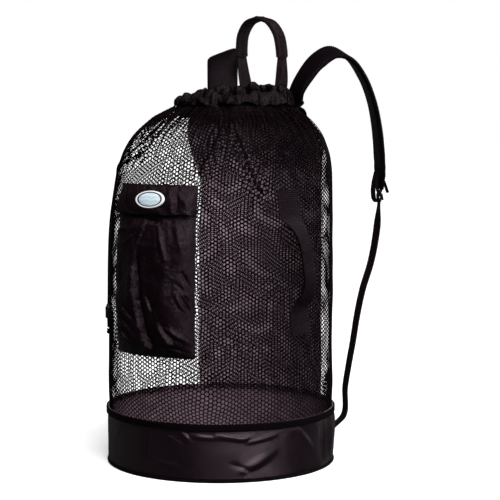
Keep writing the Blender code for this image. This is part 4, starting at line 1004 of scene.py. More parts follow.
def drift(turn, up, seed):
    """Slow waves that close round the bag: a sum of sin(k turn + l up)."""
    return sum(np.sin(k * turn + l * up + 1.9 * k + seed) * s
               for k, l, s in ((3, 1.0, 0.5), (7, -1.9, 0.45), (11, 2.7, 0.4), (5, 3.7, 0.35),
                               (16, -1.1, 0.25)))


def net_surface(u, v, out):
    """Points of the net at shares u round and v up it.

    The angle runs round and the height follows the outline's length, both a little
    warped, as cloth hangs. Near the collar angle and radius swing as gathers, and along
    each long crease the net draws together and stands out by exp(-(distance / width)^2).
    """
    sizes = bpy.context.scene.bag_sizes
    height_rows, run = outline_table()
    round_bag = np.radians(u * 360.0)
    loose = ease(v / 0.06) * ease((1 - v) / 0.10)
    climb = v * run[-1] + NET_WARP * loose * drift(round_bag, v * 9.0, 0.3)
    height = np.interp(climb, run, height_rows)
    radius, _ = ring_at(height)
    sway = NET_WARP * loose * drift(round_bag, v * 9.0, 2.1)
    angle = PANEL_ANGLE + u * 360.0 + np.degrees(sway / radius)
    turn = np.radians(angle)
    # Where the panel covers the net, nothing may stand out
    middle, half = panel_reach(height)
    covered = ease((half + 3.0 - np.abs(turn_from(middle, angle))) / 4.0)
    gather = ease((height - GATHER_FROM) / GATHER_RISE)
    phase = sizes.net_gathers * turn + 1.5 * np.sin(3 * turn + 0.7) + 1.1 * np.sin(5 * turn + 1.9)
    depth = sizes.gather_depth * gather * (0.75 + 0.25 * np.sin(2 * turn + 1.0))
    depth = depth * (1 - 0.65 * ease((height - 0.650) / 0.016))
    out = out + depth * (np.cos(phase) - 0.4)
    angle = angle - np.degrees(1.15 * gather * np.sin(phase) / sizes.net_gathers)
    slack = NET_SLACK * ripple(turn * 9.0, height * 38.0, 0.4) * ease((height - 0.12) / 0.05)
    out = out + slack * ease(np.minimum(u, 1 - u) / 0.05)
    for rows in NET_CREASES:
        rows = np.array(rows)[::-1]
        at = np.interp(height, rows[:, 0], rows[:, 1])
        steep = np.interp(height, rows[:, 0], np.gradient(np.radians(rows[:, 1]), rows[:, 0])) * radius
        ends = ease((height - rows[0, 0] + 0.012) / 0.03) * ease((rows[-1, 0] + 0.02 - height) / 0.03)
        away = turn_from(at, angle)
        far = np.radians(away) * radius / np.sqrt(1 + steep**2)
        bell = np.exp(-(far / CREASE_WIDTH)**2) * ends
        angle = angle - CREASE_DRAW * away * bell
        out = out + CREASE_LIFT * bell * (1 - 0.7 * ease((height - 0.64) / 0.02))
    out = out - covered * np.maximum(out + 0.0003, 0.0)
    return on_bag(angle, height, out)


class BAG_OT_net(bpy.types.Operator):
    """The knitted net: hexagons of yarn, gathered at the collar and creased"""
    bl_idname = "bag.net"
    bl_label = "Net"

    def execute(self, context):
        sizes = context.scene.bag_sizes
        side = sizes.net_cell / math.sqrt(3.0)
        _, run = outline_table()
        columns = 2 * int(round(math.pi * BAG_RADIUS / (1.5 * side)))
        rows = int(round(run[-1] / sizes.net_cell))
        edge = int(columns * half_angle(PANEL_WIDTH) / 360.0) - 2
        for name, first, last in (("net_left", edge, columns // 2),
                                  ("net_right", columns // 2, columns - edge), ("net_back", -edge, edge)):
            obj = self.panel(name, first, last, columns, rows, side, sizes.net_yarn)
            wear(obj, finish("yarn"), "net", "mesh_body")
        return {"FINISHED"}

    def panel(self, name, first, last, columns, rows, side, yarn):
        """Hexagons of columns first to last: each has a ring of yarn whose ridges, up
        and down, are shared with its neighbours, and a rim round its hole."""
        reach = last - first
        c, r = np.meshgrid(np.arange(reach + 1), np.arange(-1, rows + 1), indexing="ij")
        column = c + first
        level = r + 0.5 * (column % 2)
        # Corners a hexagon owns, in shares of a column and of a row: west and north-west
        west = np.stack((column - 2 / 3, level), -1)
        north_west = np.stack((column - 1 / 3, level + 0.5), -1)
        flat = np.stack((west, north_west), 2).reshape(-1, 2)
        u, v = flat[:, 0] / columns, np.clip(flat[:, 1] / rows, 0, 1)
        yarn_up = net_surface(u, v, NET_MIDDLE + YARN_DEPTH * yarn)
        yarn_down = net_surface(u, v, NET_MIDDLE - YARN_DEPTH * yarn)

        def owner(ci, ri, which):
            """Index of a hexagon's west (0) or north-west (1) corner."""
            return ((ci * (rows + 2)) + (ri + 1)) * 2 + which

        ci, ri = np.meshgrid(np.arange(reach), np.arange(rows), indexing="ij")
        odd = (ci + first) % 2
        upper, lower = ri + odd, ri + odd - 1
        ring = np.stack((owner(ci + 1, lower, 1), owner(ci + 1, upper, 0), owner(ci, ri, 1),
                         owner(ci, ri, 0), owner(ci, ri - 1, 1), owner(ci + 1, lower, 0)), -1)
        ring = ring.reshape(-1, 6)
        turn = np.arange(6) * math.tau / 6
        centre = np.stack((ci + first, ri + 0.5 * odd), -1).reshape(-1, 1, 2).astype(float)
        height_rows, run = outline_table()
        radius, _ = ring_at(np.interp(np.clip(centre[..., 1] / rows, 0, 1) * run[-1], run, height_rows))
        squeeze = radius / BAG_RADIUS
        keep = 1 - yarn / (side * math.sqrt(3.0))
        keep_across = np.clip(1 - (1 - keep) / squeeze, 0.3, 1.0)
        rim = centre + np.stack((keep_across * np.cos(turn)[None] * 2 / 3,
                                 keep * np.sin(turn)[None] / math.sqrt(3.0) + 0 * keep_across), -1)
        share = rim.reshape(-1, 2) / (columns, rows)
        share[:, 1] = np.clip(share[:, 1], 0, 1)
        holes = net_surface(share[:, 0], share[:, 1], NET_MIDDLE)
        count = len(flat)
        inner = 2 * count + np.arange(len(ring) * 6).reshape(-1, 6)
        after = np.roll(np.arange(6), -1)
        front = np.stack((ring, ring[:, after], inner[:, after], inner), -1).reshape(-1, 4)
        rear = np.stack((ring[:, after] + count, ring + count, inner, inner[:, after]), -1).reshape(-1, 4)
        points = np.concatenate((yarn_up, yarn_down, holes))
        return mesh_object(name, points, np.concatenate((front, rear)))


def band_face(angle, height):
    """Points on the band's inner face: a cylinder plus bell-shaped dents, a sine belly
    and the ridges of BAND_CREASES, faded out at the tape and the foot."""
    relief = np.zeros(np.broadcast(angle, height).shape)
    for at, level, half_width, half_height, depth in BAND_DENTS:
        turn = turn_from(at, angle)
        rise = (height / BAND_HEIGHT - level) / half_height
        relief = relief + depth * BAND_THICKNESS * np.exp(-(turn / half_width)**2 - rise**2)
    belly = 0.5 * BAND_THICKNESS * np.sin(math.pi * np.clip(height / BAND_HEIGHT, 0.0, 1.0))
    per_degree = math.radians(BAG_RADIUS)
    folds = np.zeros(relief.shape)
    for a0, z0, a1, z1, width, depth in BAND_CREASES:
        middle = 0.5 * (a0 + a1)
        start, end = (a0 - middle) * per_degree, (a1 - middle) * per_degree
        folds = folds + ridge(turn_from(middle, angle) * per_degree, height,
                              (start, z0, end, z1, width, depth))
    folds = folds + 0.0005 * ripple(np.radians(angle) * 14.0, height * 70.0, 1.3)
    fade = np.clip((BAND_HEIGHT - BINDING_WIDTH - height) / (0.07 * BAND_HEIGHT), 0.0, 1.0)
    foot = np.clip((height - BASE_THICKNESS) / (0.13 * BAND_HEIGHT), 0.0, 1.0)
    radius = BAG_RADIUS + 3 * GAP + (relief + belly + folds) * ease(fade) * ease(foot)
    return level_ring(radius, angle, height)


class BAG_OT_base(bpy.types.Operator):
    """Floor cloth, piping, coated band and the tape bound over the band's edge"""
    bl_idname = "bag.base"
    bl_label = "Base"

    def execute(self, context):
        angle = np.arange(720) * 0.5
        full = np.append(angle, 360.0)
        turn = np.radians(angle)
        per_degree = math.radians(BAG_RADIUS)
        height = 2 * PIPING_RADIUS + (BAND_HEIGHT - 2 * PIPING_RADIUS) * np.linspace(0, 1, 64)
        band = cloth_sheet("coated_band", band_face(angle[None, :], height[:, None]),
                           full * per_degree, height, BAND_THICKNESS, wrap=True)
        wear(band, finish("coated nylon"), "coated_nylon", "base_band")

        # Tape folded over the edge: down the outside, over the top and down the inside
        inner = BAG_RADIUS + 3 * GAP + BAND_THICKNESS + 2 * GAP
        outer = inner + BINDING_THICKNESS
        low, high = BAND_HEIGHT - BINDING_WIDTH, BAND_HEIGHT + BINDING_LIP
        out = np.array([0.0, 0.55, 0.9, 1.0, 1.0, 1.0, 1.0, 0.92, 0.7, 0.3, 0.0])
        rise = np.array([0.01, 0.0, 0.01, 0.06, 0.30, 0.60, 0.86, 0.95, 1.0, 1.0, 0.93])
        radius = inner + out * (outer - inner)
        level = low + rise * (high - low)
        wobble = 0.00035 * ripple(turn * 11.0, 0.0, 2.0)
        spread = radius[None, :] + wobble[:, None] * (out[None, :] > 0.4)
        sag = level[None, :] + 0.0005 * ripple(turn * 6.0, 0.0, 3.0)[:, None]
        rings = level_ring(spread, angle[:, None], sag)
        binding = closed_tube("bound_tape", rings, angle * per_degree, 0.030, ring_path=True)
        wear(binding, finish("tape"), "binding_tape", "band_binding")
        around = bearing(full) * outer
        seam = stitches("band_stitches", [(around + (0, 0, low + 0.0028), bearing(full)),
                                          (around + (0, 0, high - 0.0034), bearing(full))],
                        context.scene.bag_sizes.stitch)
        wear(seam, finish("thread"), "binding_tape")

        section = np.arange(12) * math.tau / 12
        radius = PIPING_MIDDLE + PIPING_RADIUS * 0.98 * np.cos(section)[None, :]
        radius = radius + 0.0003 * ripple(turn * 17.0, 0.0, 5.0)[:, None]
        rings = level_ring(radius, angle[:, None], PIPING_RADIUS * (1 + 0.98 * np.sin(section)))
        piping = closed_tube("corded_piping", rings, angle * per_degree, 0.019, ring_path=True)
        wear(piping, finish("tape"), "binding_tape", "base_piping")

        # Floor cloth: radius times (cos, sin), puckered near its sewn edge
        share = np.linspace(0.02, 1.0, 42)[::-1, None]
        reach = PIPING_MIDDLE - 0.85 * PIPING_RADIUS - GAP
        pucker = ease((share - 0.8) / 0.2) * np.sin(turn * 46 + 2 * np.sin(turn * 5))
        level = 0.0012 + 0.0003 * pucker + 0.0004 * ripple(share * 9.0, turn[None] * 5.0, 4.0)
        points = level_ring(share * reach, angle, level)
        faces = grid_faces(len(share), len(angle), wrap=True)
        uv = points[..., :2].reshape(-1, 2)[faces.ravel()]
        middle = list(range((len(share) - 1) * len(angle), len(share) * len(angle)))
        floor = mesh_object("floor_cloth", points, faces.tolist() + [middle], uv)
        thicken(floor, FLOOR_CLOTH, 0.0)
        wear(floor, finish("coated nylon"), "coated_nylon", "base_disc")
        return {"FINISHED"}


class BAG_OT_back(bpy.types.Operator):
    """Solid back panel with its hems, and the yoke that carries straps and handle"""
    bl_idname = "bag.back"
    bl_label = "Back panel"

    def execute(self, context):
        across = np.linspace(-1, 1, 130)
        low, high = BAND_HEIGHT + BINDING_LIP + GAP, NET_TOP - 2 * GAP
        rise = np.linspace(0.0, 1.0, 190)
        height = (low + rise * (high - low))[:, None]
        middle, half = panel_reach(height)
        angle = middle + across[None, :] * half
        hem = ease((np.abs(across) - 0.90) / 0.03)[None, :] * HEM
        ends = ease(rise / 0.05) * ease((1 - rise) / 0.12)
        soft = ease((1 - np.abs(across)) / 0.15)[None, :] * ends[:, None]
        waves_out = 0.0007 * soft * (1 + ripple(across[None, :] * 7.0, rise[:, None] * 16.0, 0.9))
        points = on_bag(angle, height, PANEL_OUT + hem + waves_out)
        run = run_along(points[:, 65])
        panel = cloth_sheet("panel_cloth", points, across * PANEL_WIDTH / 2, run, PANEL_CLOTH)
        wear(panel, finish("panel nylon"), "panel_nylon", "back_panel")

        share = np.linspace(-1, 1, 80)[None, :] * YOKE_WIDTH / 2
        up = np.linspace(1, 0, 34)
        height = (NET_TOP - YOKE_DROP - YOKE_HEIGHT * up)[:, None]
        radius, _ = ring_at(height)
        turn = PANEL_ANGLE - np.degrees(np.arcsin(np.clip(share / radius, -0.95, 0.95)))
        edge = np.minimum(1 - np.abs(share) / (YOKE_WIDTH / 2), np.minimum(up, 1 - up)[:, None] * 2)
        points = on_bag(turn[:, ::-1], height, YOKE_OUT + 0.0005 * ease(edge / 0.08))
        yoke = cloth_sheet("yoke_cloth", points, share[0], run_along(points[:, 40]), YOKE_CLOTH)
        wear(yoke, finish("webbing"), "webbing", "strap_yoke")

        rows = []
        for side in (-1, 1):
            for inset in (0.935, 0.975):
                height = np.linspace(low, high - 0.01, 150)
                middle, half = panel_reach(height)
                turn = middle + side * half * inset
                rows.append((on_bag(turn, height, PANEL_OUT + HEM + PANEL_CLOTH), bearing(turn)))
        for level in (0.06, 0.94):
            z = NET_TOP - YOKE_DROP - YOKE_HEIGHT * level
            r, _ = ring_at(z)
            x = np.linspace(-0.96, 0.96, 90) * YOKE_WIDTH / 2
            turn = PANEL_ANGLE - np.degrees(np.arcsin(x / r))
            rows.append((on_bag(turn, z, YOKE_OUT + YOKE_CLOTH + HEM), bearing(turn)))
        seam = stitches("back_stitches", rows, context.scene.bag_sizes.stitch)
        wear(seam, finish("thread"), "panel_nylon")
        return {"FINISHED"}


def pleat(angle):
    """Uneven gathers round the collar, between -1 and 1: two sines of PLEATS and
    PLEATS + 7 waves with warped phases."""
    turn = np.radians(angle)
    return (0.62 * np.sin(PLEATS * turn + 1.3 * np.sin(2 * turn + 0.6))
            + 0.38 * np.sin((PLEATS + 7) * turn + 1.9 * np.sin(3 * turn)))


def crumpled(turn, along):
    """Sharp folds that lean to and fro: four sums of 1 - 2 |sin| with warped phases."""
    total = np.zeros(np.broadcast(turn, along).shape)
    for count, lean, warp, height in ((9, 3.4, 1.3, 1.0), (17, -6.2, 1.7, 0.62), (29, 8.5, 2.1, 0.40),
                                      (47, -10.0, 2.4, 0.22)):
        phase = count * turn + lean * along + warp * np.sin(3 * turn + 2.4 * along + count)
        phase = phase + 0.9 * np.sin(7 * turn - 3.2 * along + 0.5 * count)
        total = total + height * (1 - 2 * np.abs(np.sin(phase / 2)))
    return total / 1.6


class BAG_OT_collar(bpy.types.Operator):
    """Gathered collar: a skirt inside the net, folded over into a crumpled frill"""
    bl_idname = "bag.collar"
    bl_label = "Collar"

    def execute(self, context):
        columns = 660
        angle = (np.arange(columns) * 360.0 / columns)[None, :]
        along = np.linspace(0, 1, 62)
        out, rise, depth = smooth(COLLAR_OUTLINE, along).T[:, :, None]
        turn = np.radians(angle)
        slack = np.exp(-(turn_from(SLACK_ANGLE, angle) / SLACK_SPREAD)**2)
        out = np.where(out > -SLACK_DRAW, out - slack * (out + SLACK_DRAW), out) + 0 * slack
        above = np.clip(rise, 0, 1) * (1 - SLACK_SINK * slack)
        share = along[:, None]
        # Folds start at the net's edge and are deepest in the frill
        free = ease((share - 0.40) / 0.22)
        gathers = 0.55 * depth * pleat(angle + 9.0 * (share - 0.5))
        folds = free * (1.60 * crumpled(turn, share) - 0.30)
        radius = COLLAR_RADIUS * (1 + out) + PLEAT_DEPTH * (gathers + folds)
        radius = radius + 0.30 * PLEAT_DEPTH * (1 - free) * np.sin(41 * turn + 2.2 * np.sin(4 * turn))
        height = NET_TOP + np.where(rise > 0, above * COLLAR_RISE, rise * COLLAR_SKIRT)
        height = height + above * COLLAR_TILT * np.sin(turn)
        height = height + above * 0.10 * COLLAR_RISE * pleat(angle + 40.0)
        height = height + 0.16 * COLLAR_RISE * above * crumpled(turn + 0.4, 0.6 * share)
        hem = ease((share - 0.86) / 0.14)
        height = height + 0.0040 * hem * (1 - slack) * (1 + crumpled(turn + 0.9, 0.0 * share))
        height = height - 0.0022 * np.where(rise < -0.8, 1.0, 0.0) * np.sin(9 * turn + np.sin(2 * turn))
        points = level_ring(radius, angle, height) + (0.0, COLLAR_LEAN, 0.0)
        around = np.append(angle[0], 360.0) * math.radians(COLLAR_RADIUS)
        obj = cloth_sheet("gathered_collar", points, around, run_along(points[:, 0]),
                          context.scene.bag_sizes.cloth, wrap=True, offset=-1.0)
        wear(obj, finish("collar nylon"), "panel_nylon", "collar")
        return {"FINISHED"}


def pouch_out(across, down):
    """How far the pouch stands off the net: POUCH_PROUD times 1 - |across|^4.5, the foot's
    square root and a throat that opens downwards, with ridges and crumples on it."""
    side = 1 - np.abs(across)**4.5
    throat = 0.30 + 0.70 * np.clip((down - 0.06) / 0.20, 0, 1)**0.8
    foot = np.clip((1 - down) / 0.10, 0, 1)**0.5
    stretch = (POCKET_TOP - FLAP_HEIGHT + POUCH_TUCK - POCKET_BOTTOM) / (POCKET_WIDTH / 2)
    folds = np.zeros(np.broadcast(across, down).shape)
    for x0, y0, x1, y1, width, out in POUCH_FOLDS:
        folds = folds + ridge(across, down * stretch,
                              (x0, y0 * stretch, x1, y1 * stretch, 0.75 * width, 1.25 * out))
    folds = folds + 0.035 * ripple(across * 11.0, down * 26.0, 0.2)
    folds = folds + 0.020 * ripple(across * 27.0, down * 60.0, 1.1)
    low = 1 + 1.2 * ease((down - 0.60) / 0.25)
    folds = folds + 0.060 * low * crumpled(0.5 * across + 0.3 * down, 3.0 * down)
    return POUCH_PROUD * side * foot * (0.82 * throat + folds * np.clip(down / 0.12, 0, 1))


def flap_slope(rise):
    """Share of FLAP_PROUD from the flap's hem at 0 to its seam at 1: s (2 - s)."""
    slope = np.clip((1 - rise) / 0.62, 0, 1)
    return slope * (2 - slope)


def flap_out(across, rise):
    """How far the flap stands off the net, from its hem at 0 to its seam at 1: flap_slope
    with ridges and crumples, times 1 - |across|^12."""
    side = 1 - np.abs(across)**12
    folds = sum(ridge(across, rise * 0.55, (x0, y0 * 0.55, x1, y1 * 0.55, width, out))
                for x0, y0, x1, y1, width, out in FLAP_FOLDS)
    folds = folds + 0.07 * crumpled(0.8 * across + 0.25 * rise, 0.8 * rise)
    folds = folds * ease(rise / 0.04 + 0.3) * ease((1 - rise) / 0.10)
    return 2 * GAP + FLAP_PROUD * side * (flap_slope(rise) + 0.8 * folds)


class BAG_OT_pocket(bpy.types.Operator):
    """Billowing pouch with its folds, the flap over its mouth and the oval badge"""
    bl_idname = "bag.pocket"
    bl_label = "Pocket"

    def execute(self, context):
        cloth = context.scene.bag_sizes.cloth
        across = np.sin(np.linspace(-1, 1, 180) * math.pi / 2)
        down = np.concatenate((1 - 0.12 * np.linspace(0, 1, 32)**1.6, np.linspace(0.876, 0.0, 218)))
        top = POCKET_TOP - FLAP_HEIGHT + POUCH_TUCK
        angle = (POCKET_ANGLE - POUCH_TRIM + across * (half_angle(POCKET_WIDTH) - POUCH_TRIM))[None, :]
        height = (top - down * (top - POCKET_BOTTOM))[:, None]
        points = on_bag(angle, height, GAP + pouch_out(across[None, :], down[:, None]))
        up = (1 - down) * (top - POCKET_BOTTOM)
        pouch = cloth_sheet("pouch_cloth", points, across * POCKET_WIDTH / 2, up, cloth)
        wear(pouch, finish("pocket nylon"), "pocket_nylon", "pocket_pouch")

        width = POCKET_WIDTH + 2 * FLAP_MARGIN
        across = np.sin(np.linspace(-1, 1, 150) * math.pi / 2)
        rise = np.linspace(0, 1, 52)
        angle = (POCKET_ANGLE - FLAP_TRIM + across * (half_angle(width) - FLAP_TRIM))[None, :]
        height = (POCKET_TOP - FLAP_HEIGHT * (1 - rise))[:, None]
        ripple_hem = 0.0012 * np.sin(across * 9.0 + 0.6)[None, :] * (1 - rise)[:, None]**3
        points = on_bag(angle, height + ripple_hem, flap_out(across[None, :], rise[:, None]))
        flap = cloth_sheet("flap_cloth", points, across * width / 2, rise * FLAP_HEIGHT, cloth)
        wear(flap, finish("pocket nylon"), "pocket_nylon", "pocket_flap")

        # Badge: rings of an oval, a rounded rim and a dished middle
        spread = np.array([0.02, 0.24, 0.48, 0.71, 0.74, 0.82, 0.84, 0.88, 0.93, 0.97, 1.0])
        dome = np.array([0.66, 0.66, 0.65, 0.63, 0.52, 0.50, 0.80, 0.96, 1.0, 0.86, 0.45])
        turn = np.arange(72) * math.tau / 72
        x = spread[:, None] * np.cos(turn) * BADGE_WIDTH / 2
        z = BADGE_AT + spread[:, None] * np.sin(turn) * BADGE_HEIGHT / 2
        angle = POCKET_ANGLE + np.degrees(x / BAG_RADIUS)
        share = (z - POCKET_TOP + FLAP_HEIGHT) / FLAP_HEIGHT
        under = 2 * GAP + FLAP_PROUD * flap_slope(share) + cloth + BADGE_CLEAR
        front = on_bag(angle, z, under + BADGE_THICKNESS * dome[:, None])
        rear = on_bag(angle, z, under)
        rings = np.concatenate((front, rear[::-1]))
        count = len(rings)
        faces = grid_faces(count, 72, wrap=True).tolist() + end_caps(count, 72)
        oval = np.stack((spread[:, None] * np.cos(turn), spread[:, None] * np.sin(turn)), -1)
        oval = np.concatenate((oval, oval[::-1])).reshape(-1, 2)
        corners = np.concatenate([np.array(face) for face in faces])
        badge = mesh_object("badge_oval", rings, faces, oval[corners], outward=True)
        wear(badge, finish("badge"), "badge", "oval_badge")

        rows = []
        across = np.linspace(-0.985, 0.985, 120)
        angle = POCKET_ANGLE - FLAP_TRIM + across * (half_angle(width) - FLAP_TRIM)
        for level in (0.965, 0.915, 0.055):
            out = flap_out(across, np.full(120, level)) + cloth
            rows.append((on_bag(angle, POCKET_TOP - FLAP_HEIGHT * (1 - level), out), bearing(angle)))
        seam = stitches("pocket_stitches", rows, context.scene.bag_sizes.stitch)
        wear(seam, finish("thread"), "pocket_nylon")
        return {"FINISHED"}


def yoke_seat(across, width, thickness, shares):
    """Points of a band sewn flat on the yoke, beside the bag's middle, and their angles."""
    height = NET_TOP - YOKE_DROP - np.asarray(shares) * YOKE_HEIGHT
    radius, _ = ring_at(height)
    angle = PANEL_ANGLE - np.degrees(np.arcsin(across / radius))
    out = TOP_OF_YOKE + thickness / 2 + width**2 / (8 * COLLAR_RADIUS)
    return on_bag(angle, height, out), angle


def strap_path(word, samples):
    """Centre line, width directions and breadths of a padded strap: sewn to the yoke, then
    STRAP_ROUTE along its bearing, its width turning from the seat's to the bearing's."""
    side = SIDES[word]
    heading = STRAP_BEARINGS[word]
    reach, rise, turn, broad = STRAP_ROUTE.T
    seat, angle = yoke_seat(side * STRAP_SPREAD, STRAP_WIDTH * broad[0], STRAP_THICKNESS,
                            (0.55, 0.40, 0.22, 0.05))
    start = seat[-1] + (0.0, 0.25 * STRAP_THICKNESS, 0.0)
    route = start + reach[:, None] * STRAP_REACH * bearing(heading)
    route[:, 2] = NET_TOP + rise * STRAP_RISE
    route = np.vstack((seat, route))
    turn = np.concatenate((np.zeros(len(seat)), turn))
    broad = np.concatenate((np.full(len(seat), broad[0]), broad))
    centres = curve_through(route, samples)
    even = np.linspace(0.0, run_along(route)[-1], samples)
    turn = np.interp(even, run_along(route), turn)[:, None]
    twist = side * PAD_TWIST * ease((even / even[-1] - 0.55) / 0.35)
    across = bearing(angle[-1] - 90.0) * (1 - turn) + bearing(heading - 90.0 + twist) * turn
    across = across - side * STRAP_DIP * UP * np.sin(math.pi * turn)
    return centres, across, STRAP_WIDTH * np.interp(even, run_along(route), broad)


class BAG_OT_straps(bpy.types.Operator):
    """Padded shoulder straps with piped edges and sewn lines"""
    bl_idname = "bag.straps"
    bl_label = "Shoulder straps"

    def execute(self, context):
        for word in SIDES:
            centres, across, breadth = strap_path(word, 150)
            run = run_along(centres)
            # Cushion: crowned, thinner at both ends, with cross folds near its end
            end = run[-1] - run
            thick = STRAP_THICKNESS * (0.30 + 0.70 * ease(end / 0.030)) * (0.75 + 0.25 * ease(run / 0.06))
            folds = 1 - 0.16 * np.exp(-((end - 0.035) / 0.004)**2)
            folds = folds - 0.12 * np.exp(-((end - 0.052) / 0.005)**2)
            upper = ease((0.55 * run[-1] - run) / 0.05)
            thick = thick * (folds - 0.07 * np.maximum(0, np.sin(run * 95.0 + 0.6)) * upper)
            rings = band_rings(centres, across, crowned_section(20), breadth * 0.965, thick)
            pad = closed_tube(f"strap_pad_{word}", rings, run, 0.128)
            wear(pad, finish("padding nylon"), "strap_padding", f"shoulder_strap_{word}")
            _, width, normal = path_frame(centres, across)
            rows = []
            for edge_name, side in (("inner", -1), ("outer", 1)):
                edge = centres + width * (side * breadth / 2 * 0.955)[:, None]
                cord = round_tube(f"strap_piping_{word}_{edge_name}", edge, STRAP_PIPING, 8, normal[0])
                wear(cord, finish("tape"), "strap_padding")
                for face in (-1, 1):
                    line = centres + width * (side * breadth / 2 * 0.84)[:, None]
                    line = line + normal * (face * thick * 0.5 * 0.80)[:, None]
                    rows.append((line[6:-6], (normal * face)[6:-6]))
            seam = stitches(f"strap_stitches_{word}", rows, context.scene.bag_sizes.stitch)
            wear(seam, finish("thread"), "strap_padding")
        return {"FINISHED"}


def buckle_frame(word):
    """Middle of a strap's ladder lock, its width's direction and the way it faces."""
    centres, _, _ = strap_path(word, 24)
    heading = STRAP_BEARINGS[word]
    return centres[-1] - UP * (BUCKLE_HEIGHT / 2 + 2 * GAP), bearing(heading - 90.0), bearing(heading)


class BAG_OT_buckles(bpy.types.Operator):
    """Ladder locks: two rails, three bars and a lifted lip"""
    bl_idname = "bag.buckles"
    bl_label = "Ladder locks"

    def execute(self, context):
        half_width = BUCKLE_WIDTH / 2 - BUCKLE_RAIL
        for word in SIDES:
            middle, width, facing = buckle_frame(word)
            bars = []
            t = np.linspace(-1, 1, 16)[:, None]
            for x in (-1, 1):
                spine = (middle + width * x * half_width + UP * t * (BUCKLE_HEIGHT / 2 - 0.0018)
                         + facing * 0.0007 * np.cos(t * 3.0))
                bars.append((spine, BUCKLE_RAIL, 1 - 0.30 * t[:, 0]**8))
            t = np.linspace(-1, 1, 14)[:, None]
            for level, size, bow in ((0.98, BUCKLE_BAR, -0.0002), (0.0, BUCKLE_BAR, -0.0002),
                                     (-0.98, BUCKLE_FOOT, 0.0010)):
                spine = (middle + width * t * half_width + UP * level * (BUCKLE_HEIGHT / 2 - 0.0022)
                         + facing * bow * (1 - t**2))
                bars.append((spine, size, np.ones(14)))
            t = np.linspace(-1, 1, 12)[:, None]
            lip = (middle + width * t * BUCKLE_WIDTH * 0.36 - UP * (BUCKLE_HEIGHT / 2 - 0.0012)
                   + facing * 0.0018)
            bars.append((lip, BUCKLE_LIP, 1 - 0.4 * t[:, 0]**6))
            parts = [round_tube(f"lock_{word}_{index}", spine, size, 10, facing, swell)
                     for index, (spine, size, swell) in enumerate(bars)]
            wear(join(f"ladder_lock_{word}", parts), finish("plastic"), "plastic", f"strap_buckle_{word}")
        return {"FINISHED"}


def join(name, parts):
    """One mesh object of several, each in place."""
    points, faces, count = [], [], 0
    for part in parts:
        mesh = part.data
        own = np.empty(len(mesh.vertices) * 3)
        mesh.vertices.foreach_get("co", own)
        points.append(own.reshape(-1, 3))
        faces += [[count + index for index in polygon.vertices] for polygon in mesh.polygons]
        count += len(mesh.vertices)
        bpy.data.objects.remove(part, do_unlink=True)
    return mesh_object(name, np.concatenate(points), faces)


class BAG_OT_webbing(bpy.types.Operator):
    """Webbing from each ladder lock to its tab on the band, with the lock's loops and pull tab"""
    bl_idname = "bag.webbing"
    bl_label = "Strap webbing"

    def execute(self, context):
        for word in SIDES:
            middle, width, facing = buckle_frame(word)
            start = middle - UP * (BUCKLE_HEIGHT / 2 + 2 * GAP)
            tab_angle = TAB_ANGLES[word]
            tab = bearing(tab_angle) * (BAG_RADIUS + TAB_OUT)
            tab[2] = TAB_HEIGHT
            along, drop, swing = WEBBING_ROUTE.T
            way = tab - start
            route = (start + along[:, None] * way * (1, 1, 0)
                     + swing[:, None] * STRAP_REACH * bearing(STRAP_BEARINGS[word]))
            route[:, 2] = start[2] + drop * way[2]
            foot = tab - bearing(tab_angle) * 0.6 * BAND_THICKNESS
            route = np.vstack((route, tab + (0, 0, 0.1 * TAB_HEIGHT), foot - (0, 0, 0.5 * TAB_HEIGHT)))
            centres = curve_through(route, 140)
            share = np.linspace(0.0, 1.0, 140)[:, None]
            turned = bearing(STRAP_BEARINGS[word] - 90.0 + SIDES[word] * WEBBING_TWIST)
            free = ease(share / 0.10)
            edge = (width * (1 - free) + turned * free) * (1 - share)
            edge = edge + bearing(tab_angle - 90.0) * share
            # It runs up through the lock and over the middle bar
            threaded = start + UP * LOCK_TAIL[:, :1] + facing * LOCK_TAIL[:, 1:]
            centres = np.vstack((curve_through(np.vstack((threaded, centres[:1])), 60)[:-1], centres))
            edge = np.vstack((np.repeat(edge[:1], 59, 0), edge))
            rings = band_rings(centres, edge, flat_section(12), WEBBING, WEBBING_THICKNESS * 0.9)
            strap = closed_tube(f"webbing_{word}", rings, run_along(centres), 0.054)
            wear(strap, finish("webbing"), "webbing", f"strap_webbing_{word}")
            for name, rows, breadth, way in (("lock_loop", LOCK_LOOP, WEBBING, width),
                                             ("pull_tab", PULL_TAB, 0.010, turned),
                                             ("slack_loop", SLACK_LOOP, 0.016, turned)):
                path = curve_through(start + UP * rows[:, :1] + facing * rows[:, 1:], 40)
                rings = band_rings(path, np.repeat(way[None], 40, 0), flat_section(12), breadth,
                                   WEBBING_THICKNESS * 0.8)
                piece = closed_tube(f"{name}_{word}", rings, run_along(path), 0.054)
                wear(piece, finish("webbing"), "webbing")
        return {"FINISHED"}


